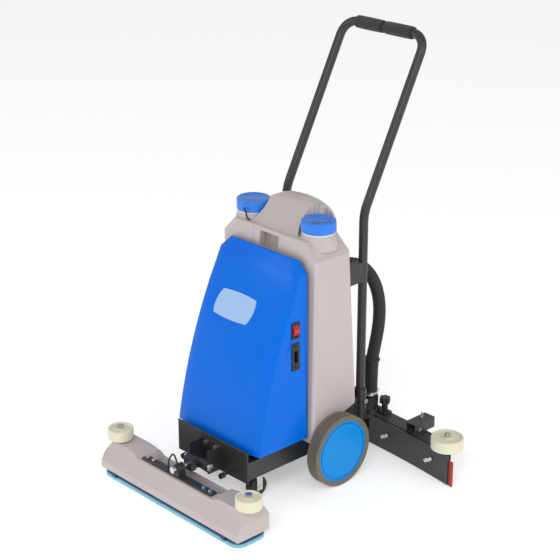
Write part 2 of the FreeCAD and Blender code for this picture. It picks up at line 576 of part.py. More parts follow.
# --- casters under the front corners of the tray ---
casterTops = []
for side in (-1, 1):
    name = mirrorName(side)
    x = f"{side} * casterX"
    wheelAt = ("casterY + casterTrail", "casterDia / 2")
    topPlate = box((f"{x} - 24", f"{x} + 24"), ("casterY - 24", "casterY + 24"),
                   ("railLow - 3", "railLow"))
    race = rod("z", 30, "railLow - 8", "railLow - 3", (x, "casterY"))
    casterTops.append(join(topPlate, race))
    crown = join(rod("z", 36, "railLow - 12.4", "railLow - 8.4", (x, "casterY")),
                 box((f"{x} - casterWide / 2 - 4", f"{x} + casterWide / 2 + 4"),
                     ("casterY - 10", "casterY + casterTrail + 8"),
                     ("railLow - 15.4", "railLow - 12.4")))
    cheeks = [box((f"{x} + {s} * (casterWide / 2 + 2.5) - 1.5",
                   f"{x} + {s} * (casterWide / 2 + 2.5) + 1.5"),
                  ("casterY + casterTrail - 9", "casterY + casterTrail + 8"), ("casterDia / 2 - 8",
                          "railLow - 12.4")) for s in (-1, 1)]
    fork = cut(join(crown, *cheeks), rod("x", "casterPin", f"{x} - 30", f"{x} + 30", wheelAt))
    node(f"caster_fork_{name}", group(fork, rod("x", "casterPin", f"{x} - casterWide / 2 - 6",
                                                f"{x} + casterWide / 2 + 6", wheelAt)))
    node(f"caster_wheel_{name}", cut(rod("x", "casterDia", f"{x} - casterWide / 2",
                                         f"{x} + casterWide / 2", wheelAt),
                                     rod("x", "casterPin + 2 * pinGap", f"{x} - 30", f"{x} + 30",
                                         wheelAt)))

node("caster_plates", group(*casterTops))

# --- head carrier: two ears on the front plate, a cross pin, and the lift arm ---
liftAt = ("liftY", "liftZ")
ears = []
for s in (-1, 1):
    ear = box((f"{s} * (earX + 2.5) - 2.5", f"{s} * (earX + 2.5) + 2.5"), ("liftY", "chassisFront - 4"),
              ("liftZ - 20", "plateHigh - 12"))
    ears += [ear, rod("x", 26, f"{s} * (earX + 2.5) - 2.5", f"{s} * (earX + 2.5) + 2.5", liftAt)]
backPlate = box(("-earX - 12", "earX + 12"), ("chassisFront - 4", "chassisFront"),
                ("liftZ - 20", "plateHigh - 8"))
node("head_bracket", cut(join(backPlate, *ears), rod("x", "liftPin", "-earX - 20", "earX + 20", liftAt)))
bolts = []
for x in (-1, 1):
    bolts.append(rod("y", 13, "chassisFront - 9", "chassisFront - 4", (f"{x} * (earX - 12)",
            "plateHigh - 20")))
node("frame_bolts", group(*bolts, *heads))
pins.append(join(rod("x", "liftPin", "-earX - 9", "earX + 9", liftAt), rod("x", "liftPin + 6",
        "-earX - 12", "-earX - 7", liftAt),
                      rod("x", "liftPin + 6", "earX + 7", "earX + 12", liftAt)))
knobs = [join(rod("y", 14, "chassisFront - 30", "chassisFront - 18", (x, "plateLow + 8")),
              rod("y", 6, "chassisFront - 18", "chassisFront", (x, "plateLow + 8"))) for x in (-76, 62)]
node("stop_knobs", group(*knobs))

barTop = "shellMid + barThick"
lugHalf = 11
armBlock = join(rod("x", 24, "-earX + 2", "earX - 2", liftAt), box((-10, 10), ("liftY - 30", "liftY - 8"),
        ("liftZ - 8", "liftZ + 12")),
                box((-14, 14), ("liftY - 34", "liftY - 20"), ("rollZ - 16", "rollZ + 17")))
armBores = (rod("x", "liftPin + 2 * pinGap", "-earX - 5", "earX + 5", liftAt), rod("y", 10, "liftY - 40",
        "liftY - 15", (0, "rollZ")))
node("lift_arm", cut(armBlock, *armBores))
node("roll_pin", join(rod("y", 10, "barY - 16", "liftY - 20", (0, "rollZ")),
                      rod("y", 16, "barY - 20", "barY - 12", (0, "rollZ"))))

# --- scrub head: bar with its lug, shell, plate, pad, motor ---
bar = box(("-barHalf", "barHalf"), ("barY - barWide / 2", "barY + barWide / 2"), ("shellMid", barTop))
lug = join(box((-lugHalf, lugHalf), ("barY - 10", "barY + 12"), (barTop, "rollZ")), rod("y", 2 * lugHalf,
        "barY - 10", "barY + 12", (0, "rollZ")))
barWithLug = cut(join(bar, lug), rod("y", "10 + 2 * pinGap", "barY - 30", "barY + 30", (0, "rollZ")))
boltHeads = []
for x in (-1, 1):
    for inset in (12, 34):
        boltHeads.append(rod("z", 11, barTop, f"{barTop} + 5", (f"{x} * (barHalf - {inset})", "barY")))
wireTop = c.rollZ + 34
wirePoints = [V(-38, c.barY, c.shellMid + c.barThick), V(-35, c.barY, c.rollZ + 8),
              V(-17, c.barY, wireTop), V(-3, c.barY, c.rollZ + lugHalf - 1)]
node("head_bar", join(barWithLug, solid(tube(wirePoints, 4.5, fixedBend(7))[0])))


def shellBlock(inset):
    side = [(c.headFront, c.shellLow), (c.headFront, c.shellLow + 18), (c.headFront + 27, c.shellHigh),
            (c.headBack - 10, c.shellHigh),
            (c.headBack, c.shellHigh - 22), (c.headBack, c.shellLow)]
    rise = c.headHalf - 90
    front = [(-c.headHalf, c.shellLow), (-c.headHalf, c.shellHigh - 26), (-c.headHalf + 14, c.shellHigh),
             (-rise, c.shellHigh),
             (-rise + 26, c.shellMid), (rise - 26, c.shellMid), (rise, c.shellHigh), (c.headHalf - 14,
                     c.shellHigh),
             (c.headHalf, c.shellHigh - 26), (c.headHalf, c.shellLow)]
    pocket = [(-c.pocketHalf, c.shellHigh + 5), (-c.pocketHalf + 18, c.pocketFloor), (c.pocketHalf - 18,
            c.pocketFloor), (c.pocketHalf, c.shellHigh + 5)]
    shapes = []
    for points, axis, low, high in ((side, "x", -c.headHalf - 5, c.headHalf + 5),
                                    (front, "y", c.headFront - 5, c.headBack + 5),
                                    (pocket, "y", c.pocketFront, c.headBack + 5)):
        flat = outline(points, axis, low, high)
        if inset:
            grow = inset if points is pocket else -inset
            face = [f for f in flat.Faces if abs(f.CenterOfMass.dot(V(axis == "x", axis == "y",
                    0)) - low) < 0.01][0]
            wire = face.makeOffset2D(grow, join=2).OuterWire
            reach = high - low
            if points is pocket:
                wire.translate(V(0, -inset, 0))
                reach += inset
            flat = Part.Face(wire).extrude(V(reach, 0, 0) if axis == "x" else V(0, reach, 0))
        shapes.append(flat)
    body = shapes[0].common(shapes[1]).cut(shapes[2])
    if inset:
        body = body.fuse(Part.makeBox(2 * (c.headHalf - inset), c.headBack - c.headFront - 2 * inset,
                                      2 * inset,
                                      V(-c.headHalf + inset, c.headFront + inset, c.shellLow - inset)))
    return body


headShell = shellBlock(0).cut(shellBlock(c.shellWall))
for side in (-1, 1):
    headShell = headShell.cut(Part.makeCylinder(c.boltDia / 2, 60, V(side * c.bumperX, c.bumperY,
            c.shellHigh - 30)))
node("head_shell", solid(headShell))
plateIn = 5
board = block((-c.headHalf + plateIn, c.headHalf - plateIn), (c.headFront + plateIn,
                                                              c.headBack - plateIn),
              (c.padThick, c.shellLow - 0.3))
board = board.makeFillet(c.padCorner - plateIn,
                         [e for e in board.Edges if abs(e.tangentAt(e.FirstParameter).z) > 0.9])
mounts = []
for x in (-1, 1):
    for y in (c.headFront + 26, c.headBack - 26):
        mounts.append(Part.makeCylinder(9, c.pocketFloor - c.shellWall - c.shellLow - 0.4,
                                        V(x * c.headHalf * 0.5, y, c.shellLow)))
node("board_mounts", group(*[solid(m) for m in mounts]))
cloth = block((-c.headHalf, c.headHalf), (c.headFront - 1, c.headBack + 1), (0, c.padThick))
cloth = cloth.makeFillet(c.padCorner,
                         [e for e in cloth.Edges if abs(e.tangentAt(e.FirstParameter).z) > 0.9])
node("scrub_pad", solid(cloth))
headAt = (c.headFront + c.headBack) / 2
motor = Part.makeCylinder(c.headMotorDia / 2 - 2, c.headMotorLong, V(-c.headMotorLong / 2, headAt - 14,
        c.shellLow + c.headMotorDia / 2), V(1, 0, 0))
motor = motor.fuse(block((-c.headMotorLong / 2 + 12, c.headMotorLong / 2 - 12), (headAt - 26, headAt - 2),
                         (c.shellLow, c.shellLow + 12)))
motor = motor.cut(Part.makeCylinder(3, 30, V(c.headMotorLong / 2 - 15, headAt - 14,
                                             c.shellLow + c.headMotorDia / 2), V(1, 0, 0)))
node("head_motor", solid(motor))
weightX = c.headMotorLong / 2
weight = Part.makeCylinder(2.95, 26, V(weightX - 14.5, headAt - 14, c.shellLow + c.headMotorDia / 2),
                           V(1, 0, 0))
lobe = Part.makeCylinder(14, 8, V(weightX + 3, headAt - 14, c.shellLow + c.headMotorDia / 2), V(1, 0, 0))
lobe = lobe.common(Part.makeBox(40, 40, 20, V(weightX, headAt - 34,
                                              c.shellLow + c.headMotorDia / 2 - 17)))
node("shaker_weight", solid(weight.fuse(lobe)))
clips = [cut(box((f"{x} - 7", f"{x} + 7"), ("headFront - 1", "headFront + 12"), ("padThick", "shellLow")),
             box((f"{x} - 8", f"{x} + 8"), ("headFront + 4", "headFront + 13"),
                 ("padThick - 1", "shellLow + 1"))) for x in (-200, 200)]
node("pad_board", group(solid(board), *clips))


def bumper(label, x, y, dia, wideness, low, bolt):
    """A plastic roller on an upright bolt, with a washer under it and a nut above."""
    body = cut(rod("z", dia, low, f"{low} + {wideness}", (x, y)), rod("z", f"{bolt} + 2 * pinGap",
            f"{low} - 1", f"{low} + {wideness} + 1", (x, y)))
    dish = cut(rod("z", f"{dia} - 14", f"{low} + {wideness} - 3", f"{low} + {wideness} + 1", (x, y)),
               rod("z", f"{bolt} + 12", f"{low} + {wideness} - 4", f"{low} + {wideness} + 2", (x, y)))
    return node(label, cut(body, dish))


bolts = []
for side in (-1, 1):
    at = (f"{side} * bumperX", "bumperY")
    bumper(f"head_bumper_{mirrorName(side)}", *at, "bumperDia", "bumperWide", "shellHigh + 2 + faceGap",
           "boltDia")
    top = "shellHigh + 2 + bumperWide + 2 * faceGap"
    bolts.append(join(rod("z", "boltDia", "shellHigh - shellWall - 8", f"{top} + 6", at),
                      rod("z", "boltDia + 9", "shellHigh", "shellHigh + 2", at),
                      rod("z", "boltDia + 7", top, f"{top} + 6", at)))
node("head_bolts", group(*bolts, *boltHeads))

# --- squeegee: everything follows one long arc, ends swept forward ---
sweepRadius = (c.sqHalf ** 2 + c.sqSweep ** 2) / (2 * c.sqSweep)


def bow(front, back, half, low, high, halfBack=0):
    """A strip along the arc, between two offsets behind it. Its back edge may be shorter."""
    edges = []
    corners = []
    for offset, reach in ((front, half), (back, halfBack or half)):
        r = sweepRadius + offset
        ends = []
        for x in (-reach, 0, reach):
            ends.append(V(x, c.sqMidY - sweepRadius + math.sqrt(r * r - x * x), low))
        corners.append(ends)
    edges.append(Part.Arc(*corners[0]).toShape())
    edges.append(Part.LineSegment(corners[0][2], corners[1][2]).toShape())
    edges.append(Part.Arc(*corners[1][::-1]).toShape())
    edges.append(Part.LineSegment(corners[1][0], corners[0][0]).toShape())
    return Part.Face(Part.Wire(edges)).extrude(V(0, 0, high - low))


bladeBack = c.bladeThick
frameBack = bladeBack + c.sqDeep
frameBody = bow(bladeBack + 0.1, frameBack, c.sqHalf, 34, c.sqTop, c.sqHalfBack)
frameBody = frameBody.cut(bow(bladeBack + 4.1, frameBack - 4, c.sqHalf - 10, 30, c.sqTop - 4,
                              c.sqHalfBack - 2))
portHole = Part.makeCylinder(c.hoseDia / 2 - 3, 30, V(c.portX, c.portY, c.sqTop - 15))
squeegeeFrame = solid(frameBody.cut(portHole))
frontStrip = solid(bow(-c.stripThick, -0.1, c.sqHalf, 2.5, c.sqTop))
rearStrip = solid(bow(frameBack + bladeBack + 0.1, frameBack + bladeBack + 3, c.sqHalfBack, 30,
                      c.sqTop - 18))
node("blade_strips", group(frontStrip, rearStrip))
node("blade_front", solid(bow(0, bladeBack, c.bladeHalf, 0, c.sqTop - 14)))
node("blade_rear", solid(bow(frameBack + 0.1, frameBack + bladeBack, c.sqHalfBack, 0, c.sqTop - 18)))


def bowY(x, offset):
    r = sweepRadius + offset
    return c.sqMidY - sweepRadius + math.sqrt(r * r - x * x)


studs = []
for x in (-308, -150, 150, 308):
    y = bowY(x, -c.stripThick)
    hub = Part.makeCylinder(5, 6, V(x, y - 6.8, 44), V(0, 1, 0))
    for s in (-1, 1):
        wing = Part.makeBox(11, 2.4, 8, V(0, -1.2, -4))
        wing.Placement = FreeCAD.Placement(V(x + s * 3, y - 4.4, 44 + s * 1), FreeCAD.Rotation(V(0, 1, 0),
                -40 if s > 0 else 140))
        hub = hub.fuse(wing)
    studs.append(solid(hub))
node("wing_nuts", group(*studs))
port = Part.makeCone(c.portDia / 2, c.portDia / 2 - 5, 12, V(c.portX, c.portY, c.sqTop + 0.1))
port = port.fuse(Part.makeCone(c.portDia / 2 - 5, c.hoseDia / 2 + 3, 12, V(c.portX, c.portY,
        c.sqTop + 12.1)))
port = port.fuse(Part.makeCylinder(c.hoseDia / 2 + 3, 22, V(c.portX, c.portY, c.sqTop + 24.1)))
port = port.cut(Part.makeCylinder(c.hoseDia / 2 - 3, 80, V(c.portX, c.portY, c.sqTop - 5)))
node("suction_port", solid(port))

armTop = "sqTop + 7"
channels = []
for side in (-1, 1):
    name = mirrorName(side)
    at = (f"{side} * knobX", "knobY + 8")
    shaftTop = "sqTop + 30"
    star = [rod("z", "knobDia * 0.72", shaftTop, f"{shaftTop} + 15", at)]
    for i in range(6):
        angle = math.radians(60 * i)
        star.append(rod("z", "knobDia * 0.34", shaftTop, f"{shaftTop} + 15",
                        (f"{at[0]} + knobDia * 0.33 * {math.cos(angle):.4f}",
                         f"{at[1]} + knobDia * 0.33 * {math.sin(angle):.4f}")))
    stem = [rod("z", 16, "sqTop + 7.3", shaftTop, at)]
    node(f"squeegee_knob_{name}", cut(join(*star, *stem), rod("z", 8.1, "sqTop", f"{shaftTop} + 8", at)))
    x = f"{side} * boxX"
    face = bowY(c.boxX, bladeBack)
    channel = cut(box((f"{x} - boxWide / 2", f"{x} + boxWide / 2"), (face, f"{face} + boxLong"),
                      ("sqTop", "sqTop + boxTall")),
                  box((f"{x} - boxWide / 2 + 3", f"{x} + boxWide / 2 - 3"),
                      (face - 1, f"{face} + boxLong + 1"), ("sqTop + 3.1", "sqTop + boxTall - 3")))
    channels.append(channel)
node("squeegee_frame", join(squeegeeFrame, *channels))
knobStuds = [rod("z", 8, "sqTop", "sqTop + 36", (f"{s} * knobX", "knobY + 8")) for s in (-1, 1)]
boxFixings = []
for s in (-1, 1):
    face = bowY(c.boxX, bladeBack)
    x = f"{s} * boxX"
    boxFixings.append(join(rod("z", 9, "sqTop + boxTall", "sqTop + boxTall + 6", (x, face + 40)),
                           rod("z", 5, "sqTop + boxTall + 6", "sqTop + boxTall + 16", (x, face + 40))))
    low = f"{x} + boxWide / 2" if s > 0 else f"{x} - boxWide / 2 - 4"
    boxFixings.append(rod("x", 11, low, f"{low} + 4", (face + 12, "sqTop + 12")))

sqBolts = []
for side in (-1, 1):
    y = bowY(c.sqBumperX, 20)
    at = (f"{side} * sqBumperX", y)
    bumper(f"squeegee_bumper_{mirrorName(side)}", *at, "sqBumperDia", "sqBumperWide",
           "sqTop + 3 + faceGap", "boltDia")
    top = "sqTop + 3 + sqBumperWide + 2 * faceGap"
    sqBolts.append(join(rod("z", "boltDia", "sqTop + 0.1", f"{top} + 10", at), rod("z", "boltDia + 12",
            "sqTop + 0.1", "sqTop + 3", at),
                        rod("z", "boltDia + 7", top, f"{top} + 6", at)))
node("squeegee_bolts", group(*sqBolts, *knobStuds, *boxFixings))

# lift arms: ears on the cross box, one pin, two arms bolted down by the star knobs
pivotAt = ("sqPivotY", "sqPivotZ")
backFace = "chassisBack + crossDeep - 4"
pivotEars = []
for s in (-1, 1):
    for gap in (-8, 8):
        x = f"{s} * armX + {gap}"
        pivotEars.append(join(box((f"{x} - 2", f"{x} + 2"), (backFace, "sqPivotY"),
                                  ("sqPivotZ - 11", "sqPivotZ + 11")),
                              rod("x", 22, f"{x} - 2", f"{x} + 2", pivotAt)))
welded += [cut(e, rod("x", "sqPin", "-armX - 30", "armX + 30", pivotAt)) for e in pivotEars]
node("chassis_frame", cut(join(*welded), axleHole))
pins.append(join(rod("x", "sqPin", "-armX - 14", "armX + 14", pivotAt), rod("x", "sqPin + 6",
        "-armX - 17", "-armX - 10", pivotAt),
                 rod("x", "sqPin + 6", "armX + 10", "armX + 17", pivotAt)))
node("pivot_pins", group(*pins))
yoke = [box(("-knobX - 14", "knobX + 14"), ("knobY - 4", "knobY + 20"), ("sqTop + 0.1", armTop))]
for s in (-1, 1):
    x = f"{s} * armX"
    yoke.append(rod("x", 20, f"{x} - 5", f"{x} + 5", pivotAt))
    yoke.append(box((f"{x} - 5", f"{x} + 5"), ("sqPivotY", "knobY"), ("sqPivotZ - 8", "sqPivotZ + 6")))
    yoke.append(box((f"{x} - 5", f"{x} + 5"), ("knobY - 4", "knobY + 20"), (armTop, "sqPivotZ + 6")))
holes = [rod("z", "portDia + 4", "sqTop - 1", "sqTop + 12", ("portX", "portY")),
         rod("x", "sqPin + 2 * pinGap", "-armX - 20", "armX + 20", pivotAt)]
holes += [rod("z", 8, "sqTop - 1", "sqTop + 12", (f"{s} * knobX", "knobY + 8")) for s in (-1, 1)]
node("squeegee_yoke", cut(join(*yoke), *holes))

# --- vacuum hose from the tank's back to the squeegee port ---
hoseStart = V(c.hoseX, c.tankRear + 11, c.hoseHigh)
hoseEnd = V(c.portX, c.portY, c.sqTop + 46.1)
hoseRoute = [hoseStart, V(c.hoseX, 156, c.hoseHigh), V(76, 205, 490), V(90, 236, 446), V(99, 247, 390),
             V(97, 249, 330), V(87, 248, 272), V(78, 245, 220), V(c.portX, c.portY, 172), hoseEnd]
cuff = Part.makeCylinder(c.cuffDia / 2, 34, V(hoseStart.x, hoseStart.y - 34, hoseStart.z), V(0, 1, 0))
cuff = cuff.cut(Part.makeCylinder(c.cuffDia / 2 - 5, 30, V(hoseStart.x, hoseStart.y - 34, hoseStart.z),
                                  V(0, 1, 0)))
node("hose_port", solid(cuff.cut(outer)))


def hoseBend(i, run, turn):
    return 0.45 * run / math.tan(turn / 2)


hose, spine = tube(hoseRoute, c.hoseDia, hoseBend)
node("vacuum_hose", solid(hose))
radii = []
for i in range(1, len(hoseRoute) - 1):
    back = hoseRoute[i - 1] - hoseRoute[i]
    ahead = hoseRoute[i + 1] - hoseRoute[i]
    turn = math.pi - back.getAngle(ahead)
    radii.append(round(hoseBend(i, min(back.Length, ahead.Length), turn)))
print("hose radii", radii, "length", round(spine.Length), "volume ratio",
      round(hose.Volume / (math.pi * c.hoseDia ** 2 / 4 * spine.Length), 4))

# --- check everything, then write one file for each node ---
doc.recompute()
bad = [o.Name + " " + o.Label for o in doc.Objects if "Invalid" in o.State or "Error" in o.State]
bad += [p.Label for p in parts if p.Shape.isNull() or not p.Shape.isValid()]
if bad:
    raise SystemExit("failed: " + ", ".join(bad))
os.makedirs("parts", exist_ok=True)
for p in parts:
    p.Shape.exportStep(f"parts/{p.Label}.step")
print(len(parts), "nodes,", sum(len(p.Shape.Solids) for p in parts), "solids")
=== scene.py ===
import json
import math

import bmesh
import bpy
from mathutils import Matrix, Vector
from mathutils.bvhtree import BVHTree


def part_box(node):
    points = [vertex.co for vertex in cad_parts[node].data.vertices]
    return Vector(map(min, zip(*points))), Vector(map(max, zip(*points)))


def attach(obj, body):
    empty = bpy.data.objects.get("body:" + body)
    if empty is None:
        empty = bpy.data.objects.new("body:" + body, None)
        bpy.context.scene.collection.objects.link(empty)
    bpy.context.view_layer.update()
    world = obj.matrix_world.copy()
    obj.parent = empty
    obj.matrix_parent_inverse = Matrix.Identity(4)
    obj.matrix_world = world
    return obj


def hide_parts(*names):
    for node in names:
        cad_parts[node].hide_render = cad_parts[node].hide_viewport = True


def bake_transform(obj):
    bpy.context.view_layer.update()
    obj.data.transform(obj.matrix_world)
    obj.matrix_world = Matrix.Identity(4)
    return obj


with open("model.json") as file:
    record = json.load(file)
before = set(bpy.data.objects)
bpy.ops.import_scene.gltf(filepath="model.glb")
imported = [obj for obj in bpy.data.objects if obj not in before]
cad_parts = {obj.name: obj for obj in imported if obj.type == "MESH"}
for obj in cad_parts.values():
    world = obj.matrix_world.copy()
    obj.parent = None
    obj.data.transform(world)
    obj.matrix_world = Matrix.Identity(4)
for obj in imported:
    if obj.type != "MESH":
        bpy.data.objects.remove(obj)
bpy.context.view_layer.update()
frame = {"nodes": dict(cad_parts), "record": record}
nodes = frame["nodes"]
bpy.ops.object.select_all(action="DESELECT")

# Camera, floor and light
view = {"place": (2.502, -2.358, 1.847), "azimuth": 46.67, "elevation": 21.63, "lens": 99.64, "sensor": 36,
        "farthest": 100}
studio = {
    "floorSize": 60, "floorColor": (0.93, 0.93, 0.93), "floorGlow": 0.42, "floorRough": 0.9,
    "sky": (1.0, 1.0, 1.0), "skyStrength": 0.5, "aimAt": (0, 0, 0.4),
    "key": {"place": (3.2, -4.2, 4.6), "size": 3.2, "power": 125},
    "side": {"place": (5.0, 0.8, 2.6), "size": 2.6, "power": 55},
    "strip": {"place": (-2.6, -3.4, 2.4), "size": 1.4, "power": 22},
}


def aim(light, target):
    light.rotation_euler = (Vector(target) - light.location).to_track_quat("-Z", "Y").to_euler()


def makeStudio():
    lens = bpy.data.cameras.new("studioCamera")
    lens.lens = view["lens"]
    lens.sensor_width = view["sensor"]
    lens.clip_end = view["farthest"]
    camera = bpy.data.objects.new("studioCamera", lens)
    camera.location = view["place"]
    camera.rotation_euler = (math.radians(90 - view["elevation"]), 0, math.radians(view["azimuth"]))
    bpy.context.scene.collection.objects.link(camera)
    bpy.context.scene.camera = camera

    bpy.ops.mesh.primitive_plane_add(size=studio["floorSize"], location=(0, 0, 0))
    floor = bpy.context.object
    floor.name = "studioFloor"
    paint = bpy.data.materials.new("studioFloor")
    paint.use_nodes = True
    shader = paint.node_tree.nodes["Principled BSDF"]
    shader.inputs["Base Color"].default_value = (*studio["floorColor"], 1)
    shader.inputs["Roughness"].default_value = studio["floorRough"]
    shader.inputs["Emission Color"].default_value = (*studio["floorColor"], 1)
    shader.inputs["Emission Strength"].default_value = studio["floorGlow"]
    floor.data.materials.append(paint)
    floor.select_set(False)

    world = bpy.data.worlds.new("studioSky")
    world.use_nodes = True
    world.node_tree.nodes["Background"].inputs["Color"].default_value = (*studio["sky"], 1)
    world.node_tree.nodes["Background"].inputs["Strength"].default_value = studio["skyStrength"]
    bpy.context.scene.world = world
    for name in ("key", "side", "strip"):
        spec = studio[name]
        lamp = bpy.data.lights.new(name + "Light", "AREA")
        lamp.energy = spec["power"]
        lamp.size = spec["size"]
        light = bpy.data.objects.new(name + "Light", lamp)
        light.location = spec["place"]
        aim(light, studio["aimAt"])
        bpy.context.scene.collection.objects.link(light)
    bpy.context.scene.view_settings.view_transform = "Standard"


makeStudio()
print("studio ready")

# Shared shader groups


def newGroup(name, inputs, outputs):
    group = bpy.data.node_groups.new(name, "ShaderNodeTree")
    for label, kind, value in inputs:
        socket = group.interface.new_socket(label, in_out="INPUT", socket_type=kind)
        socket.default_value = value
    for label, kind in outputs:
        group.interface.new_socket(label, in_out="OUTPUT", socket_type=kind)
    return group, group.nodes.new("NodeGroupInput"), group.nodes.new("NodeGroupOutput")


# Two inputs, each a number or a socket
def mathNode(tree, operation, a, b, clamp=False):
    step = tree.nodes.new("ShaderNodeMath")
    step.operation = operation
    step.use_clamp = clamp
    for i, value in enumerate((a, b)):
        if isinstance(value, (int, float)):
            step.inputs[i].default_value = value
        else:
            tree.links.new(value, step.inputs[i])
    return step.outputs[0]


def noiseNode(tree, scale, detail=2.0):
    place = tree.nodes.new("ShaderNodeTexCoord")
    noise = tree.nodes.new("ShaderNodeTexNoise")
    noise.inputs["Detail"].default_value = detail
    tree.links.new(place.outputs["Object"], noise.inputs["Vector"])
    if isinstance(scale, (int, float)):
        noise.inputs["Scale"].default_value = scale
    else:
        tree.links.new(scale, noise.inputs["Scale"])
    return noise.outputs["Fac"]


def mixNode(tree, factor, a, b):
    mix = tree.nodes.new("ShaderNodeMix")
    mix.data_type = "RGBA"
    for socket, value in ((mix.inputs[0], factor), (mix.inputs[6], a), (mix.inputs[7], b)):
        if isinstance(value, (int, float, tuple)):
            socket.default_value = value
        else:
            tree.links.new(value, socket)
    return mix.outputs[2]


# Numbers inside the shared effects
effects = {
    "toneSwing": 2, "driftDetail": 3,
    "edgeSamples": 4, "edgeContrast": 6, "edgePatches": 90, "edgePatchFloor": 0.25,
    "dustUpward": 0.7, "dustPatches": 22, "dustContrast": 1.2, "dustFloor": -0.25,
    "dustColor": (0.62, 0.6, 0.56, 1),
    "smearMiddle": 0.45, "smearSwing": 2, "smearDetail": 6,
}
white = (1, 1, 1, 1)
colorOnly = [("Color", "NodeSocketColor")]
colorAndMask = [("Color", "NodeSocketColor"), ("Mask", "NodeSocketFloat")]


# Lightness that drifts a little from place to place
def buildColorDrift():
    inputs = [("Color", "NodeSocketColor", white), ("Scale", "NodeSocketFloat", 6),
              ("Spread", "NodeSocketFloat", 0.06)]
    drift, given, out = newGroup("colorDrift", inputs, colorOnly)
    noise = noiseNode(drift, given.outputs["Scale"], effects["driftDetail"])
    swing = mathNode(drift, "MULTIPLY", mathNode(drift, "SUBTRACT", noise, 0.5), given.outputs["Spread"])
    level = mathNode(drift, "ADD", mathNode(drift, "MULTIPLY", swing, effects["toneSwing"]), 1)
    tone = drift.nodes.new("ShaderNodeHueSaturation")
    drift.links.new(level, tone.inputs["Value"])
    drift.links.new(given.outputs["Color"], tone.inputs["Color"])
    drift.links.new(tone.outputs["Color"], out.inputs["Color"])


# A barer colour in patches along the edges
def buildEdgeWear():
    inputs = [("Color", "NodeSocketColor", white), ("Bare", "NodeSocketColor", white),
              ("Amount", "NodeSocketFloat", 0.3), ("Radius", "NodeSocketFloat", 0.0015)]
    wear, given, out = newGroup("edgeWear", inputs, colorAndMask)
    rounded = wear.nodes.new("ShaderNodeBevel")
    rounded.samples = effects["edgeSamples"]
    wear.links.new(given.outputs["Radius"], rounded.inputs["Radius"])
    surface = wear.nodes.new("ShaderNodeNewGeometry")
    facing = wear.nodes.new("ShaderNodeVectorMath")
    facing.operation = "DOT_PRODUCT"
    wear.links.new(rounded.outputs["Normal"], facing.inputs[0])
    wear.links.new(surface.outputs["Normal"], facing.inputs[1])
    turned = mathNode(wear, "SUBTRACT", 1, facing.outputs["Value"])
    edge = mathNode(wear, "MULTIPLY", turned, effects["edgeContrast"], True)
    patches = mathNode(wear, "ADD", noiseNode(wear, effects["edgePatches"], 4), effects["edgePatchFloor"])
    patchy = mathNode(wear, "MULTIPLY", edge, patches)
    mask = mathNode(wear, "MULTIPLY", patchy, given.outputs["Amount"], True)
    wear.links.new(mixNode(wear, mask, given.outputs["Color"], given.outputs["Bare"]), out.inputs["Color"])
    wear.links.new(mask, out.inputs["Mask"])


# Pale dust in patches on what faces up
def buildSettledDust():
    inputs = [("Color", "NodeSocketColor", white), ("Amount", "NodeSocketFloat", 0.1)]
    dust, given, out = newGroup("settledDust", inputs, colorAndMask)
    surface = dust.nodes.new("ShaderNodeNewGeometry")
    split = dust.nodes.new("ShaderNodeSeparateXYZ")
    dust.links.new(surface.outputs["Normal"], split.inputs[0])
    upward = mathNode(dust, "MULTIPLY", split.outputs["Z"], effects["dustUpward"], True)
    strong = mathNode(dust, "MULTIPLY", noiseNode(dust, effects["dustPatches"], 5), effects["dustContrast"])
    cloudy = mathNode(dust, "ADD", strong, effects["dustFloor"], True)
    settled = mathNode(dust, "MULTIPLY", upward, cloudy)
    mask = mathNode(dust, "MULTIPLY", settled, given.outputs["Amount"], True)
    dust.links.new(mixNode(dust, mask, given.outputs["Color"], effects["dustColor"]), out.inputs["Color"])
    dust.links.new(mask, out.inputs["Mask"])


# Fine grain over a broad wave, as a height
def buildSurfaceGrain():
    inputs = [("Scale", "NodeSocketFloat", 900), ("Wave", "NodeSocketFloat", 60),
              ("Fine", "NodeSocketFloat", 0.5), ("Broad", "NodeSocketFloat", 0.5)]
    grain, given, out = newGroup("surfaceGrain", inputs, [("Height", "NodeSocketFloat")])
    fine = mathNode(grain, "MULTIPLY", noiseNode(grain, given.outputs["Scale"], 2), given.outputs["Fine"])
    broad = mathNode(grain, "MULTIPLY", noiseNode(grain, given.outputs["Wave"], 1), given.outputs["Broad"])
    grain.links.new(mathNode(grain, "ADD", fine, broad), out.inputs["Height"])


# Roughness that changes where hands and cloths have rubbed
def buildScuffedGloss():
    inputs = [("Roughness", "NodeSocketFloat", 0.3), ("Spread", "NodeSocketFloat", 0.1),
              ("Scale", "NodeSocketFloat", 14)]
    gloss, given, out = newGroup("scuffedGloss", inputs, [("Roughness", "NodeSocketFloat")])
    noise = noiseNode(gloss, given.outputs["Scale"], effects["smearDetail"])
    centred = mathNode(gloss, "SUBTRACT", noise, effects["smearMiddle"])
    smear = mathNode(gloss, "MULTIPLY", centred, given.outputs["Spread"])
    swing = mathNode(gloss, "MULTIPLY", smear, effects["smearSwing"])
    gloss.links.new(mathNode(gloss, "ADD", swing, given.outputs["Roughness"], True), out.inputs["Roughness"])


buildColorDrift()
buildEdgeWear()
buildSettledDust()
buildSurfaceGrain()
buildScuffedGloss()


# Places a shared group. Each value is a number, a colour or a socket
def useGroup(tree, name, **values):
    block = tree.nodes.new("ShaderNodeGroup")
    block.node_tree = bpy.data.node_groups[name]
    for label, value in values.items():
        socket = block.inputs[label]
        if isinstance(value, (int, float)):
            socket.default_value = value
        elif isinstance(value, tuple):
            socket.default_value = value if len(value) == 4 else (*value, 1)
        else:
            tree.links.new(value, socket)
    return block.outputs


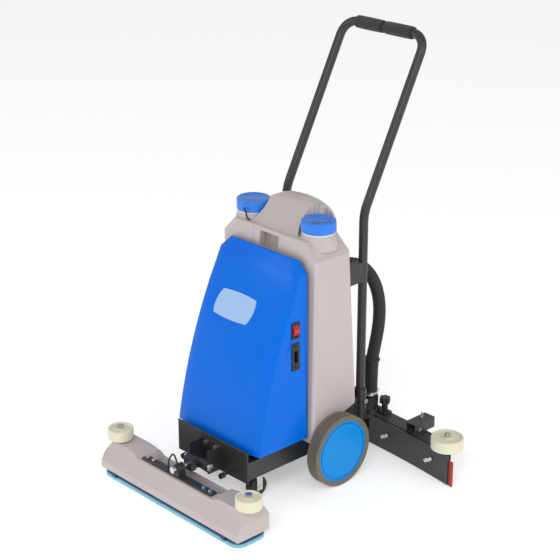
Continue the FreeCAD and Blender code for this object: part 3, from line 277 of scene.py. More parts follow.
# What a maker would change in each finish: colour, gloss, colour drift, rubbed edges, dust and grain
finishes = {
    "beigeTank": {
        "color": (0.55, 0.485, 0.47), "rough": 0.36, "drift": 0.03, "bare": (0.75, 0.7, 0.68),
        "wear": 0.22, "dust": 0.05, "grain": 700, "wave": 26, "fine": 0.35, "broad": 0.8,
        "depth": 0.0005, "coat": 0.15,
    },
    "beigeShell": {
        "color": (0.56, 0.49, 0.475), "rough": 0.38, "drift": 0.035, "bare": (0.75, 0.7, 0.68),
        "wear": 0.25, "dust": 0.06, "grain": 700, "wave": 30, "fine": 0.35, "broad": 0.7,
        "depth": 0.0005, "coat": 0.1,
    },
    "blueHood": {
        "color": (0.0, 0.155, 0.76), "rough": 0.3, "gleam": 0.12, "drift": 0.02,
        "bare": (0.1, 0.4, 0.95), "wear": 0.3, "dust": 0.02, "grain": 500, "wave": 9, "fine": 0.03,
        "broad": 0.5, "depth": 0.0003, "coat": 0.04,
    },
    "blueCap": {
        "color": (0.0, 0.19, 0.80), "rough": 0.28, "drift": 0.03, "bare": (0.3, 0.5, 0.85), "wear": 0.4,
        "dust": 0.16, "grain": 900, "wave": 60, "fine": 0.4, "broad": 0.4, "depth": 0.0004, "coat": 0.2,
    },
    "blueHub": {
        "color": (0.0, 0.27, 0.74), "rough": 0.36, "gleam": 0.15, "drift": 0.03,
        "bare": (0.2, 0.55, 0.95), "wear": 0.3, "dust": 0.03, "grain": 800, "wave": 40, "fine": 0.4,
        "broad": 0.4, "depth": 0.0004, "coat": 0.1,
    },
    "paleLabel": {
        "color": (0.36, 0.56, 0.86), "rough": 0.4, "gleam": 0.3, "drift": 0.04,
        "bare": (0.5, 0.65, 0.85), "wear": 0.3, "dust": 0.03, "grain": 900, "wave": 60, "fine": 0.3,
        "broad": 0.3, "depth": 0.0002,
    },
    "paleCollar": {
        "color": (0.66, 0.66, 0.66), "rough": 0.4, "drift": 0.04, "bare": (0.8, 0.8, 0.8), "wear": 0.3,
        "dust": 0.06, "grain": 900, "wave": 60, "fine": 0.3, "broad": 0.3, "depth": 0.0003,
    },
    "blackSteel": {
        "color": (0.022, 0.022, 0.024), "rough": 0.42, "drift": 0.12, "bare": (0.16, 0.16, 0.16),
        "wear": 0.5, "dust": 0.06, "grain": 520, "wave": 160, "fine": 0.6, "broad": 0.5,
        "depth": 0.0006, "coat": 0.15,
    },
    "darkGreySteel": {
        "color": (0.035, 0.036, 0.038), "rough": 0.46, "drift": 0.15, "bare": (0.2, 0.2, 0.2),
        "wear": 0.5, "dust": 0.1, "grain": 520, "wave": 120, "fine": 0.6, "broad": 0.5, "depth": 0.0006,
        "coat": 0.05,
    },
    "zincSteel": {
        "color": (0.62, 0.61, 0.58), "rough": 0.3, "drift": 0.15, "bare": (0.8, 0.8, 0.78), "wear": 0.4,
        "dust": 0.05, "grain": 1400, "wave": 300, "fine": 0.5, "broad": 0.3, "depth": 0.0003,
        "metal": 1.0,
    },
    "turnedSteel": {
        "color": (0.66, 0.66, 0.65), "rough": 0.22, "drift": 0.05, "bare": (0.8, 0.8, 0.8), "wear": 0.2,
        "dust": 0.0, "grain": 2000, "wave": 400, "fine": 0.5, "broad": 0.2, "depth": 0.0002,
        "metal": 1.0,
    },
    "blackPlastic": {
        "color": (0.016, 0.016, 0.018), "rough": 0.45, "drift": 0.12, "bare": (0.07, 0.07, 0.07),
        "wear": 0.4, "dust": 0.08, "grain": 1100, "wave": 240, "fine": 0.9, "broad": 0.3,
        "depth": 0.0006,
    },
    "navyPlastic": {
        "color": (0.012, 0.03, 0.13), "rough": 0.42, "drift": 0.08, "bare": (0.1, 0.15, 0.3),
        "wear": 0.3, "dust": 0.08, "grain": 900, "wave": 200, "fine": 0.6, "broad": 0.3,
        "depth": 0.0005,
    },
    "redSwitch": {
        "color": (0.55, 0.012, 0.01), "rough": 0.25, "drift": 0.05, "bare": (0.8, 0.2, 0.18),
        "wear": 0.3, "dust": 0.02, "grain": 900, "wave": 100, "fine": 0.2, "broad": 0.2,
        "depth": 0.0003, "coat": 0.3,
    },
    "creamNylon": {
        "color": (0.80, 0.77, 0.58), "rough": 0.36, "drift": 0.06, "bare": (0.9, 0.88, 0.75),
        "wear": 0.3, "dust": 0.08, "grain": 900, "wave": 90, "fine": 0.4, "broad": 0.5, "depth": 0.0006,
        "soft": 0.25,
    },
    "redRubber": {
        "color": (0.40, 0.035, 0.03), "rough": 0.5, "drift": 0.12, "bare": (0.5, 0.15, 0.13),
        "wear": 0.3, "dust": 0.1, "grain": 1300, "wave": 180, "fine": 0.7, "broad": 0.4,
        "depth": 0.0005,
    },
    "blackRubber": {
        "color": (0.018, 0.018, 0.018), "rough": 0.62, "drift": 0.15, "bare": (0.06, 0.06, 0.06),
        "wear": 0.4, "dust": 0.12, "grain": 1200, "wave": 200, "fine": 0.9, "broad": 0.3,
        "depth": 0.0006,
    },
    "motorGrey": {
        "color": (0.2, 0.2, 0.21), "rough": 0.45, "drift": 0.08, "bare": (0.4, 0.4, 0.4), "wear": 0.3,
        "dust": 0.1, "grain": 800, "wave": 150, "fine": 0.5, "broad": 0.3, "depth": 0.0004,
    },
    "batteryCase": {
        "color": (0.04, 0.04, 0.045), "rough": 0.5, "drift": 0.08, "bare": (0.1, 0.1, 0.1), "wear": 0.3,
        "dust": 0.1, "grain": 900, "wave": 150, "fine": 0.8, "broad": 0.3, "depth": 0.0005,
    },
    "tyreRubber": {
        "color": (0.17, 0.145, 0.105), "rough": 0.66, "drift": 0.14, "bare": (0.32, 0.3, 0.25),
        "wear": 0.35, "dust": 0.18, "grain": 900, "wave": 140, "fine": 0.9, "broad": 0.5,
        "depth": 0.0008,
    },
}


# What all of those finishes share
finishBase = {"bumpStrength": 0.6, "coatRough": 0.12, "softDepth": 0.004, "gleam": 0.5}


def makeFinish(name):
    spec = finishes[name]
    mat = bpy.data.materials.new(name)
    mat.use_nodes = True
    tree = mat.node_tree
    shader = tree.nodes["Principled BSDF"]
    drifted = useGroup(tree, "colorDrift", Color=spec["color"], Spread=spec["drift"])
    worn = useGroup(tree, "edgeWear", Color=drifted["Color"], Bare=spec["bare"], Amount=spec["wear"])
    dusty = useGroup(tree, "settledDust", Color=worn["Color"], Amount=spec["dust"])
    gloss = useGroup(tree, "scuffedGloss", Roughness=spec["rough"])
    grain = useGroup(tree, "surfaceGrain", Scale=spec["grain"], Wave=spec["wave"], Fine=spec["fine"],
                     Broad=spec["broad"])
    bump = tree.nodes.new("ShaderNodeBump")
    bump.inputs["Strength"].default_value = finishBase["bumpStrength"]
    bump.inputs["Distance"].default_value = spec["depth"]
    tree.links.new(grain["Height"], bump.inputs["Height"])
    tree.links.new(bump.outputs["Normal"], shader.inputs["Normal"])
    tree.links.new(dusty["Color"], shader.inputs["Base Color"])
    tree.links.new(gloss["Roughness"], shader.inputs["Roughness"])
    shader.inputs["Metallic"].default_value = spec.get("metal", 0)
    shader.inputs["Specular IOR Level"].default_value = spec.get("gleam", finishBase["gleam"])
    shader.inputs["Coat Weight"].default_value = spec.get("coat", 0)
    shader.inputs["Coat Roughness"].default_value = finishBase["coatRough"]
    if "soft" in spec:
        shader.inputs["Subsurface Weight"].default_value = spec["soft"]
        shader.inputs["Subsurface Scale"].default_value = finishBase["softDepth"]
    return mat


# Closed-cell foam: small pores of uneven size
foam = {"color": (0.02, 0.02, 0.022), "cells": 900, "drift": 0.2, "driftScale": 40, "dust": 0.12, "bump": 0.8,
        "depth": 0.0005, "rough": 0.8, "sheen": 0.15}


def makeFoam():
    mat = bpy.data.materials.new("gripFoam")
    mat.use_nodes = True
    tree = mat.node_tree
    shader = tree.nodes["Principled BSDF"]
    place = tree.nodes.new("ShaderNodeTexCoord")
    cells = tree.nodes.new("ShaderNodeTexVoronoi")
    cells.inputs["Scale"].default_value = foam["cells"]
    tree.links.new(place.outputs["Object"], cells.inputs["Vector"])
    drifted = useGroup(tree, "colorDrift", Color=foam["color"], Spread=foam["drift"],
                       Scale=foam["driftScale"])
    worn = useGroup(tree, "settledDust", Color=drifted["Color"], Amount=foam["dust"])
    bump = tree.nodes.new("ShaderNodeBump")
    bump.inputs["Strength"].default_value = foam["bump"]
    bump.inputs["Distance"].default_value = foam["depth"]
    tree.links.new(cells.outputs["Distance"], bump.inputs["Height"])
    tree.links.new(bump.outputs["Normal"], shader.inputs["Normal"])
    tree.links.new(worn["Color"], shader.inputs["Base Color"])
    shader.inputs["Roughness"].default_value = foam["rough"]
    shader.inputs["Sheen Weight"].default_value = foam["sheen"]
    return mat


# Looped microfibre: pale loops, with painted shade darkening the gaps between them where the loops dip
loopCloth = {"middle": (0.42, 0.76, 0.88, 1), "gap": (0.16, 0.46, 0.60, 1), "loops": 420, "gapShadeContrast": 1.4,
             "drift": 0.14, "driftScale": 60, "bump": 0.9, "depth": 0.0012, "rough": 0.9, "sheen": 0.4,
             "sheenRough": 0.5}


def makePadCloth():
    mat = bpy.data.materials.new("padCloth")
    mat.use_nodes = True
    tree = mat.node_tree
    shader = tree.nodes["Principled BSDF"]
    place = tree.nodes.new("ShaderNodeTexCoord")
    loops = tree.nodes.new("ShaderNodeTexVoronoi")
    loops.inputs["Scale"].default_value = loopCloth["loops"]
    tree.links.new(place.outputs["Object"], loops.inputs["Vector"])
    # Painted shade: the colour darkens from the loop middles towards the gaps, where the bump below dips
    away = mathNode(tree, "MULTIPLY", loops.outputs["Distance"], loopCloth["gapShadeContrast"], True)
    loopsWithGapShade = mixNode(tree, away, loopCloth["middle"], loopCloth["gap"])
    drifted = useGroup(tree, "colorDrift", Color=loopsWithGapShade, Spread=loopCloth["drift"],
                       Scale=loopCloth["driftScale"])
    bump = tree.nodes.new("ShaderNodeBump")
    bump.inputs["Strength"].default_value = loopCloth["bump"]
    bump.inputs["Distance"].default_value = loopCloth["depth"]
    bump.invert = True
    tree.links.new(loops.outputs["Distance"], bump.inputs["Height"])
    tree.links.new(bump.outputs["Normal"], shader.inputs["Normal"])
    tree.links.new(drifted["Color"], shader.inputs["Base Color"])
    shader.inputs["Roughness"].default_value = loopCloth["rough"]
    shader.inputs["Sheen Weight"].default_value = loopCloth["sheen"]
    shader.inputs["Sheen Roughness"].default_value = loopCloth["sheenRough"]
    return mat


# Woven strap: two crossed sets of ribs
webbing = {"color": (0.04, 0.04, 0.045), "ribs": 260, "depth": 0.0006, "drift": 0.2, "driftScale": 50,
           "rough": 0.75}


def makeWebbing():
    mat = bpy.data.materials.new("strapWebbing")
    mat.use_nodes = True
    tree = mat.node_tree
    shader = tree.nodes["Principled BSDF"]
    place = tree.nodes.new("ShaderNodeTexCoord")
    ribs = []
    for way in ("X", "Y"):
        wave = tree.nodes.new("ShaderNodeTexWave")
        wave.bands_direction = way
        wave.inputs["Scale"].default_value = webbing["ribs"]
        tree.links.new(place.outputs["Object"], wave.inputs["Vector"])
        ribs.append(wave.outputs["Fac"])
    weave = mathNode(tree, "MAXIMUM", *ribs)
    bump = tree.nodes.new("ShaderNodeBump")
    bump.inputs["Distance"].default_value = webbing["depth"]
    tree.links.new(weave, bump.inputs["Height"])
    tree.links.new(bump.outputs["Normal"], shader.inputs["Normal"])
    drifted = useGroup(tree, "colorDrift", Color=webbing["color"], Spread=webbing["drift"],
                       Scale=webbing["driftScale"])
    tree.links.new(drifted["Color"], shader.inputs["Base Color"])
    shader.inputs["Roughness"].default_value = webbing["rough"]
    return mat


mats = {name: makeFinish(name) for name in finishes}
mats["gripFoam"] = makeFoam()
mats["padCloth"] = makePadCloth()
mats["strapWebbing"] = makeWebbing()

# The finish that stands for each of the record's material slots
slotFinish = {
    "steel": "turnedSteel", "battery": "batteryCase", "strap": "strapWebbing", "red_rubber": "redRubber",
    "black_steel": "blackSteel", "dark_grey_steel": "darkGreySteel", "black_rubber": "blackRubber",
    "blue_cap": "blueCap", "zinc": "zincSteel", "black_plastic": "blackPlastic", "foam": "gripFoam",
    "cream_nylon": "creamNylon", "beige_shell": "beigeShell", "beige_tank": "beigeTank",
    "blue_hood": "blueHood", "navy_plastic": "navyPlastic",
    "red_rocker": "redSwitch", "blue_hub": "blueHub", "tyre_rubber": "tyreRubber", "microfibre": "padCloth",
    "hose_rubber": "blackRubber", "motor_grey": "motorGrey",
}
for part in frame["record"]["subparts"]:
    obj = nodes[part["node"]]
    if not obj.material_slots:
        obj.data.materials.append(None)
    for holder in obj.material_slots:
        holder.link = "OBJECT"
        holder.material = mats[slotFinish[part["material_slot"]]]
print("finishes on the CAD nodes")


# Gives a finished piece its material, body and the CAD nodes it stands for
def finishPiece(obj, body, finish, slot, *replaced, smooth=35):
    bpy.ops.object.select_all(action="DESELECT")
    obj.select_set(True)
    bpy.context.view_layer.objects.active = obj
    bpy.ops.object.transform_apply(location=True, rotation=True, scale=True)
    if smooth:
        bpy.ops.object.shade_smooth_by_angle(angle=math.radians(smooth))
    obj.data.materials.clear()
    obj.data.materials.append(mats[finish])
    obj.select_set(False)
    if body:
        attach(obj, body)
    if replaced:
        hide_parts(*replaced)
    return obj


# Moulded covers and rollers: copies of CAD nodes with their sharp outer edges rolled over
softEdges = {
    "solution_tank": {"name": "waterTankShell", "body": "root", "finish": "beigeTank", "slot": "beige_tank",
                      "roll": 0.008, "long": 0.012},
    "recovery_tank": {"name": "dirtyTankShell", "body": "root", "finish": "beigeTank", "slot": "beige_tank",
                      "roll": 0.008, "long": 0.012},
    "hood": {"name": "hoodShell", "body": "hood_cover", "finish": "blueHood", "slot": "blue_hood",
             "roll": 0.004, "long": 0.009},
    "head_shell": {"name": "headCover", "body": "head", "finish": "beigeShell", "slot": "beige_shell",
                   "roll": 0.005, "long": 0.012},
}
for word in ("left", "right"):
    softEdges["head_bumper_" + word] = {
        "name": "headRoller_" + word, "body": "head_roller_" + word, "finish": "creamNylon",
        "slot": "cream_nylon", "roll": 0.004, "long": 0.001}
    softEdges["squeegee_bumper_" + word] = {
        "name": "squeegeeRoller_" + word, "body": "squeegee_roller_" + word, "finish": "creamNylon",
        "slot": "cream_nylon", "roll": 0.006, "long": 0.001}

# Angles in degrees: sharp is what counts as an edge, and flat is what is merged into one face
rolling = {"sharp": 24, "flat": 1.5, "merge": 0.00002, "lookFrom": 0.0004, "segments": 4, "smooth": 32}


# Edges that show from outside, are sharp and are long enough to roll over
def outerSharpEdges(mesh, shortest):
    tree = BVHTree.FromBMesh(mesh)
    found = []
    for edge in mesh.edges:
        if len(edge.link_faces) != 2 or edge.calc_length() < shortest:
            continue
        if edge.calc_face_angle() < math.radians(rolling["sharp"]) or not edge.is_convex:
            continue
        outward = (edge.link_faces[0].normal + edge.link_faces[1].normal).normalized()
        middle = (edge.verts[0].co + edge.verts[1].co) / 2
        if tree.ray_cast(middle + outward * rolling["lookFrom"], outward)[0] is None:
            found.append(edge)
    return found


def rollEdges(node):
    spec = softEdges[node]
    obj = nodes[node].copy()
    obj.data = nodes[node].data.copy()
    obj.name = spec["name"]
    bpy.context.scene.collection.objects.link(obj)
    for key in list(obj.keys()):
        del obj[key]
    obj.hide_render = False
    bpy.ops.object.select_all(action="DESELECT")
    obj.select_set(True)
    bpy.context.view_layer.objects.active = obj
    bpy.ops.object.mode_set(mode="EDIT")
    bpy.ops.mesh.select_all(action="SELECT")
    bpy.ops.mesh.remove_doubles(threshold=rolling["merge"])
    bpy.ops.mesh.dissolve_limited(angle_limit=math.radians(rolling["flat"]))
    bpy.ops.mesh.select_all(action="DESELECT")
    bpy.ops.mesh.select_mode(type="EDGE")
    mesh = bmesh.from_edit_mesh(obj.data)
    mesh.normal_update()
    rolled = outerSharpEdges(mesh, spec["long"])
    for edge in rolled:
        edge.select = True
    bmesh.update_edit_mesh(obj.data)
    bpy.ops.mesh.bevel(offset=spec["roll"], segments=rolling["segments"], profile=0.5, affect="EDGES",
                       clamp_overlap=True)
    bpy.ops.object.mode_set(mode="OBJECT")
    print(node, "edges rolled", len(rolled))
    finishPiece(obj, spec["body"], spec["finish"], spec["slot"], node, smooth=rolling["smooth"])


for node in softEdges:
    rollEdges(node)


bothSides = ((-1, "left"), (1, "right"))


# Starts a piece from one primitive and leaves it in edit mode with nothing selected
def openPiece(name):
    obj = bpy.context.object
    obj.name = name
    bpy.ops.object.transform_apply(location=True, rotation=True, scale=True)
    bpy.ops.object.mode_set(mode="EDIT")
    bpy.ops.mesh.select_all(action="DESELECT")
    return obj, bmesh.from_edit_mesh(obj.data)


# Selects the faces that the test accepts
def pickFaces(obj, mesh, test):
    bpy.ops.mesh.select_mode(type="FACE")
    bpy.ops.mesh.select_all(action="DESELECT")
    for face in mesh.faces:
        if test(face):
            face.select = True
    bmesh.update_edit_mesh(obj.data)


# Caps: a shallow screw cap on a pale collar, over a tapered boss
cap = {
    "x": 0.111, "y": 0.020, "foot": 0.635, "top": 0.661, "radius": 0.0414, "wall": 0.0038, "roof": 0.0035,
    "sides": 96, "crownRoll": 0.004, "dishInset": 0.005, "dishSlope": 0.0012, "dishDeep": 0.0009,
    "gripEvery": 4, "gripRim": 0.0007, "gripDeep": 0.0007, "leastWall": 0.00003, "leastRound": 0.001,
    "collar": {"foot": 0.6285, "top": 0.6346, "radius": 0.0402, "roll": 0.0016},
    "boss": {"foot": 0.594, "top": 0.629, "wide": 0.0488, "narrow": 0.0395, "roll": 0.003},
}


def makeCap(side, word):
    tall = cap["top"] - cap["foot"]
    bpy.ops.object.select_all(action="DESELECT")
    bpy.ops.mesh.primitive_cylinder_add(vertices=cap["sides"], radius=cap["radius"], depth=tall,
                                        location=(side * cap["x"], cap["y"], cap["foot"] + tall / 2))
    obj, mesh = openPiece("screwCap_" + word)
    pickFaces(obj, mesh, lambda f: f.normal.z > 0.9)
    bpy.ops.mesh.bevel(offset=cap["crownRoll"], segments=5, affect="EDGES")
    mesh = bmesh.from_edit_mesh(obj.data)
    mesh.faces.ensure_lookup_table()
    walls = [f for f in mesh.faces if abs(f.normal.z) < 0.02 and f.calc_area() > cap["leastWall"]]
    walls.sort(key=lambda f: math.atan2(f.normal.y, f.normal.x))
    chosen = {f.index for f in walls[::cap["gripEvery"]]}
    pickFaces(obj, mesh, lambda f: f.index in chosen)
    bpy.ops.mesh.inset(thickness=cap["gripRim"], depth=-cap["gripDeep"], use_individual=True)
    mesh = bmesh.from_edit_mesh(obj.data)
    pickFaces(obj, mesh, lambda f: f.normal.z > 0.999 and f.calc_area() > cap["leastRound"])
    bpy.ops.mesh.inset(thickness=cap["dishInset"], depth=0)
    bpy.ops.mesh.inset(thickness=cap["dishSlope"], depth=-cap["dishDeep"])
    mesh = bmesh.from_edit_mesh(obj.data)
    pickFaces(obj, mesh, lambda f: f.normal.z < -0.9 and f.calc_area() > cap["leastRound"])
    bpy.ops.mesh.inset(thickness=cap["wall"], depth=0)
    hollow = tall - cap["roof"] - cap["dishDeep"]
    bpy.ops.mesh.extrude_region_move(TRANSFORM_OT_translate={"value": (0, 0, hollow)})
    bpy.ops.object.mode_set(mode="OBJECT")
    finishPiece(obj, "cap_" + word + "_top", "blueCap", "blue_cap", "cap_" + word, smooth=40)


def makeCollar(side, word):
    ring = cap["collar"]
    tall = ring["top"] - ring["foot"]
    bpy.ops.object.select_all(action="DESELECT")
    bpy.ops.mesh.primitive_cylinder_add(vertices=cap["sides"], radius=ring["radius"], depth=tall,
                                        location=(side * cap["x"], cap["y"], ring["foot"] + tall / 2))
    obj, mesh = openPiece("neckCollar_" + word)
    pickFaces(obj, mesh, lambda f: abs(f.normal.z) > 0.9)
    bpy.ops.mesh.bevel(offset=ring["roll"], segments=4, affect="EDGES")
    bpy.ops.object.mode_set(mode="OBJECT")
    finishPiece(obj, "root", "paleCollar", "beige_tank", smooth=40)


def makeBoss(side, word):
    boss = cap["boss"]
    tall = boss["top"] - boss["foot"]
    bpy.ops.object.select_all(action="DESELECT")
    bpy.ops.mesh.primitive_cone_add(vertices=cap["sides"], radius1=boss["wide"], radius2=boss["narrow"],
                                    depth=tall, location=(side * cap["x"], cap["y"], boss["foot"] + tall / 2))
    obj, mesh = openPiece("neckBoss_" + word)
    pickFaces(obj, mesh, lambda f: abs(f.normal.z) > 0.9)
    bpy.ops.mesh.bevel(offset=boss["roll"], segments=4, affect="EDGES")
    bpy.ops.object.mode_set(mode="OBJECT")
    finishPiece(obj, "root", "beigeTank", "beige_tank", smooth=50)


for side, word in bothSides:
    makeCap(side, word)
    makeCollar(side, word)
    makeBoss(side, word)
print("caps made")

# Hub covers: a shallow dished disc over each wheel's middle
hubCover = {"x": 0.192, "y": 0.026, "z": 0.090, "radius": 0.0695, "thick": 0.0026, "sides": 96,
            "roll": 0.0009, "lip": 0.004, "slope": 0.0012, "dish": 0.0009, "leastRound": 0.001}


def makeHubCover(side, word):
    middle = (side * (hubCover["x"] + hubCover["thick"] / 2), hubCover["y"], hubCover["z"])
    bpy.ops.object.select_all(action="DESELECT")
    bpy.ops.mesh.primitive_cylinder_add(vertices=hubCover["sides"], radius=hubCover["radius"],
                                        depth=hubCover["thick"], location=middle,
                                        rotation=(0, math.pi / 2, 0))
    obj, mesh = openPiece("hubCover_" + word)
    pickFaces(obj, mesh, lambda f: f.normal.x * side > 0.9)
    bpy.ops.mesh.bevel(offset=hubCover["roll"], segments=3, affect="EDGES")
    mesh = bmesh.from_edit_mesh(obj.data)
    pickFaces(obj, mesh, lambda f: f.normal.x * side > 0.999 and f.calc_area() > hubCover["leastRound"])
    bpy.ops.mesh.inset(thickness=hubCover["lip"], depth=0)
    bpy.ops.mesh.inset(thickness=hubCover["slope"], depth=-hubCover["dish"])
    bpy.ops.object.mode_set(mode="OBJECT")
    finishPiece(obj, "wheel_" + word, "blueHub", "blue_hub", smooth=35)


for side, word in bothSides:
    makeHubCover(side, word)
print("hub covers made")

# Label: a plain pale plate with no lettering, laid on the hood's face
label = {"middle": (-0.028, 0.441), "wide": 0.128, "tall": 0.064, "squared": 0.42, "proud": 0.0006,
         "thick": 0.0008, "across": 28, "up": 14, "slant": 0.22, "castFrom": -1}


def makeLabel():
    bpy.ops.object.select_all(action="DESELECT")
    bpy.ops.mesh.primitive_grid_add(x_subdivisions=label["across"], y_subdivisions=label["up"], size=2)
    obj = bpy.context.object
    obj.name = "hoodLabel"
    cover = nodes["hood"]
    corners = [v.co for v in cover.data.vertices]
    tree = BVHTree.FromPolygons(corners, [p.vertices for p in cover.data.polygons])
    for v in obj.data.vertices:
        a, b = v.co.x, v.co.y
        x = a * math.sqrt(1 - label["squared"] * b * b / 2) * label["wide"] / 2
        z = b * math.sqrt(1 - label["squared"] * a * a / 2) * label["tall"] / 2
        start = Vector((label["middle"][0] + x + z * label["slant"], label["castFrom"],
                        label["middle"][1] + z))
        spot, normal, _, _ = tree.ray_cast(start, Vector((0, 1, 0)))
        v.co = spot + normal * label["proud"]
    bpy.ops.object.mode_set(mode="EDIT")
    bpy.ops.mesh.select_all(action="SELECT")
    bpy.ops.mesh.normals_make_consistent(inside=False)
    bpy.ops.object.mode_set(mode="OBJECT")
    if obj.data.polygons[0].normal.y > 0:
        obj.data.flip_normals()
    wall = obj.modifiers.new("wall", "SOLIDIFY")
    wall.thickness = label["thick"]
    wall.offset = -1
    bpy.ops.object.modifier_apply(modifier=wall.name)
    finishPiece(obj, "hood_cover", "paleLabel", "blue_hood", smooth=40)


makeLabel()

# Grips: two foam sleeves on the handle's top bar
grip = {"start": 0.004, "end": 0.091, "y": 0.349, "z": 1.041, "radius": 0.0159, "sides": 56, "cuts": 16,
        "roll": 0.0028, "swell": 0.0006}


def makeGrips():
    sleeves = []
    long = grip["end"] - grip["start"]
    for side in (-1, 1):
        bpy.ops.object.select_all(action="DESELECT")
        middle = side * (grip["start"] + long / 2)
        bpy.ops.mesh.primitive_cylinder_add(vertices=grip["sides"], radius=grip["radius"] - grip["swell"],
                                            depth=long, location=(middle, grip["y"], grip["z"]),
                                            rotation=(0, math.pi / 2, 0))
        obj, mesh = openPiece("foamGrips")
        pickFaces(obj, mesh, lambda f: abs(f.normal.x) > 0.9)
        bpy.ops.mesh.bevel(offset=grip["roll"], segments=4, affect="EDGES")
        mesh = bmesh.from_edit_mesh(obj.data)
        bpy.ops.mesh.select_mode(type="EDGE")
        bpy.ops.mesh.select_all(action="DESELECT")
        for edge in mesh.edges:
            if abs(edge.verts[0].co.x - edge.verts[1].co.x) > long / 2:
                edge.select = True
        bmesh.update_edit_mesh(obj.data)
        bpy.ops.mesh.subdivide(number_cuts=grip["cuts"])
        bpy.ops.object.mode_set(mode="OBJECT")
        for v in obj.data.vertices:
            part = 1 - ((v.co.x - middle) / (long / 2)) ** 2
            away = Vector((0, v.co.y - grip["y"], v.co.z - grip["z"]))
            if away.length > grip["radius"] / 2:
                v.co += away.normalized() * grip["swell"] * part
        sleeves.append(obj)
    bpy.ops.object.select_all(action="DESELECT")
    for obj in sleeves:
        obj.select_set(True)
    bpy.context.view_layer.objects.active = sleeves[0]
    bpy.ops.object.join()
    joined = bpy.context.object
    joined.name = "foamGrips"
    finishPiece(joined, "root", "gripFoam", "foam", "grips", smooth=50)


makeGrips()
print("label and grips made")

# Hose clamp: a band with a screw block, round the hose's foot
clamp = {"x": 0.080, "y": 0.244, "z": 0.136, "radius": 0.0182, "tall": 0.009, "sides": 64, "roll": 0.0008,
         "block": (0.012, 0.008, 0.010), "blockOut": 0.002, "blockRoll": 0.0012}


def makeClamp():
    bpy.ops.object.select_all(action="DESELECT")
    bpy.ops.mesh.primitive_cylinder_add(vertices=clamp["sides"], radius=clamp["radius"], depth=clamp["tall"],
                                        location=(clamp["x"], clamp["y"], clamp["z"]))
    band, mesh = openPiece("hoseClamp")
    pickFaces(band, mesh, lambda f: abs(f.normal.z) > 0.9)
    bpy.ops.mesh.bevel(offset=clamp["roll"], segments=2, affect="EDGES")
    bpy.ops.object.mode_set(mode="OBJECT")
    bpy.ops.object.select_all(action="DESELECT")
    behind = clamp["y"] + clamp["radius"] + clamp["blockOut"]
    bpy.ops.mesh.primitive_cube_add(size=1, location=(clamp["x"], behind, clamp["z"]), scale=clamp["block"])
    block, mesh = openPiece("clampBlock")
    bpy.ops.mesh.select_all(action="SELECT")
    bpy.ops.mesh.bevel(offset=clamp["blockRoll"], segments=3, affect="EDGES")
    bpy.ops.object.mode_set(mode="OBJECT")
    for obj in (band, block):
        obj.select_set(True)
    bpy.context.view_layer.objects.active = band
    bpy.ops.object.join()
    finishPiece(bpy.context.object, "squeegee", "zincSteel", "zinc", smooth=40)


makeClamp()

# Vacuum hose: a ribbed tube on one smooth line, with a smooth cuff at its foot
hose = {
    "points": [(0.066, 0.118, 0.505), (0.066, 0.156, 0.505), (0.076, 0.205, 0.490), (0.090, 0.236, 0.446),
               (0.099, 0.247, 0.390), (0.097, 0.249, 0.330), (0.087, 0.248, 0.272), (0.078, 0.245, 0.220),
               (0.080, 0.244, 0.172), (0.080, 0.244, 0.1261)],
    "diameter": 0.032, "length": 0.466, "ribPitch": 0.0058, "ribDeep": 0.0014, "ribFlat": 0.6, "sides": 28,
    "ringsPerRib": 6, "cuffSides": 36, "squeeze": 0.0035, "rimFull": 0.4,
    "cuffLong": 0.105, "cuffTop": 0.0178, "cuffFoot": 0.0152, "rimDeep": 0.0022, "rimLong": 0.007,
}


# Points along a NURBS spline whose control points are the given ones
def smoothLine(points, resolution=24):
    data = bpy.data.curves.new("line", "CURVE")
    data.dimensions = "3D"
    spline = data.splines.new("NURBS")
    spline.points.add(len(points) - 1)
    for point, at in zip(spline.points, points):
        point.co = (*at, 1)
    spline.order_u = 3
    spline.use_endpoint_u = True
    spline.resolution_u = resolution
    holder = bpy.data.objects.new("line", data)
    bpy.context.scene.collection.objects.link(holder)
    bpy.context.view_layer.update()
    mesh = bpy.data.meshes.new_from_object(holder)
    line = [v.co.copy() for v in mesh.vertices]
    bpy.data.objects.remove(holder)
    bpy.data.curves.remove(data)
    bpy.data.meshes.remove(mesh)
    return line


# Evenly spaced points on a line, each with how far along it lies, and the line's length
def alongLine(line, steps):
    lengths = [0]
    for a, b in zip(line, line[1:]):
        lengths.append(lengths[-1] + (b - a).length)
    spots = []
    i = 0
    for k in range(steps + 1):
        want = lengths[-1] * k / steps
        while i < len(line) - 2 and lengths[i + 1] < want:
            i += 1
        part = (want - lengths[i]) / (lengths[i + 1] - lengths[i])
        spots.append((line[i].lerp(line[i + 1], part), want))
    return spots, lengths[-1]


# A closed tube with its own radius at every spot
def sweepTube(name, spots, radii, sides):
    rows = []
    turned = Vector((1, 0, 0))
    for i, (spot, _) in enumerate(spots):
        ahead = spots[min(i + 1, len(spots) - 1)][0] - spots[max(i - 1, 0)][0]
        ahead.normalize()
        turned = (turned - ahead * turned.dot(ahead)).normalized()
        across = ahead.cross(turned)
        row = []
        for k in range(sides):
            angle = 2 * math.pi * k / sides
            row.append(spot + (turned * math.cos(angle) + across * math.sin(angle)) * radii[i])
        rows.append(row)
    verts = [v for row in rows for v in row]
    faces = []
    for i in range(len(rows) - 1):
        for k in range(sides):
            a = i * sides + k
            b = i * sides + (k + 1) % sides
            faces.append((a, b, b + sides, a + sides))
    faces.append(tuple(range(sides))[::-1])
    faces.append(tuple(range(len(verts) - sides, len(verts))))
    mesh = bpy.data.meshes.new(name)
    mesh.from_pydata([tuple(v) for v in verts], [], faces)
    mesh.update()
    obj = bpy.data.objects.new(name, mesh)
    bpy.context.scene.collection.objects.link(obj)
    return obj


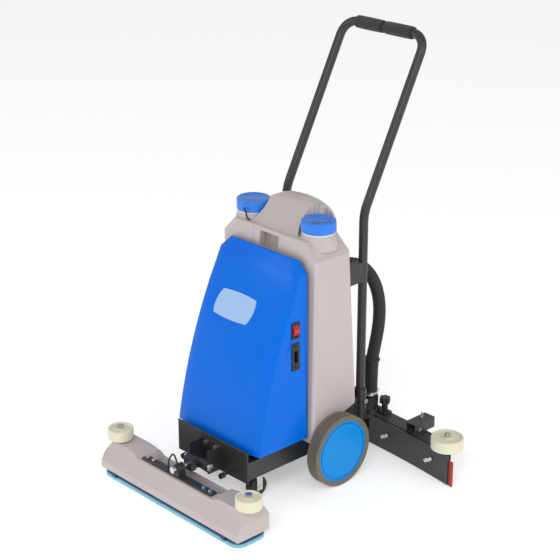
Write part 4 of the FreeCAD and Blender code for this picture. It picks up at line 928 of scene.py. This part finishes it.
def makeHose():
    line = smoothLine(hose["points"])
    total = sum((b - a).length for a, b in zip(line, line[1:]))
    steps = round(total / hose["ribPitch"]) * hose["ringsPerRib"]
    spots, total = alongLine(line, steps)
    cuffStart = total - hose["cuffLong"]
    radii = []
    for _, at in spots:
        rib = 0.5 + 0.5 * math.cos(2 * math.pi * at / hose["ribPitch"])
        full = hose["diameter"] / 2
        if at > cuffStart + hose["rimLong"]:
            full -= hose["squeeze"] * (at - cuffStart) / hose["cuffLong"]
        radii.append(full - hose["ribDeep"] * (1 - rib ** hose["ribFlat"]))
    tube = sweepTube("ribbedHose", spots, radii, hose["sides"])
    cuffSpots = [s for s in spots if s[1] >= cuffStart]
    cuffRadii = []
    for _, at in cuffSpots:
        part = (at - cuffStart) / hose["cuffLong"]
        radius = hose["cuffTop"] + (hose["cuffFoot"] - hose["cuffTop"]) * part
        if at - cuffStart < hose["rimLong"]:
            swell = math.sin(math.pi * (at - cuffStart) / hose["rimLong"])
            radius += hose["rimDeep"] * swell ** hose["rimFull"]
        cuffRadii.append(radius)
    cuff = sweepTube("hoseCuff", cuffSpots, cuffRadii, hose["cuffSides"])
    finishPiece(tube, None, "blackRubber", "hose_rubber", "vacuum_hose", smooth=60)
    finishPiece(cuff, "squeegee", "blackRubber", "hose_rubber", smooth=50)
    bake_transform(tube)
    print("hose line", round(total, 4))


makeHose()

# Scrub pad: a soft looped slab under the head
pad = {"corner": 0.026, "cell": 0.0022, "loops": 0.006, "ruffle": 0.0018, "ruffleMiddle": 0.62,
       "inset": 0.001, "aboveFoot": 0.0002, "belowTop": 0.0001}


def makePad():
    low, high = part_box("scrub_pad")
    middle = (low + high) / 2
    size = high - low
    bpy.ops.mesh.primitive_cube_add(size=1, location=middle)
    obj = bpy.context.object
    obj.name = "scrubPadCloth"
    obj.scale = (size.x - 2 * pad["inset"], size.y - 2 * pad["inset"], size.z)
    bpy.ops.object.transform_apply(location=True, rotation=True, scale=True)
    bpy.ops.object.mode_set(mode="EDIT")
    bpy.ops.mesh.select_all(action="DESELECT")
    bpy.ops.object.mode_set(mode="OBJECT")
    for edge in obj.data.edges:
        a, b = (obj.data.vertices[i].co for i in edge.vertices)
        edge.select = abs(a.z - b.z) > 0.001
    bpy.ops.object.mode_set(mode="EDIT")
    bpy.ops.mesh.bevel(offset=pad["corner"], segments=6, affect="EDGES")
    bpy.ops.object.mode_set(mode="OBJECT")
    remesh = obj.modifiers.new("cells", "REMESH")
    remesh.mode = "VOXEL"
    remesh.voxel_size = pad["cell"]
    bpy.ops.object.modifier_apply(modifier=remesh.name)
    cloud = bpy.data.textures.new("padLoops", "CLOUDS")
    cloud.noise_scale = pad["loops"]
    ruffle = obj.modifiers.new("loops", "DISPLACE")
    ruffle.texture = cloud
    ruffle.strength = pad["ruffle"]
    ruffle.mid_level = pad["ruffleMiddle"]
    bpy.ops.object.modifier_apply(modifier=ruffle.name)
    for v in obj.data.vertices:
        v.co.z = max(v.co.z, low.z + pad["aboveFoot"])
        v.co.z = min(v.co.z, high.z - pad["belowTop"])
    finishPiece(obj, "head", "padCloth", "microfibre", "scrub_pad", smooth=60)


makePad()
print("hose and pad made")
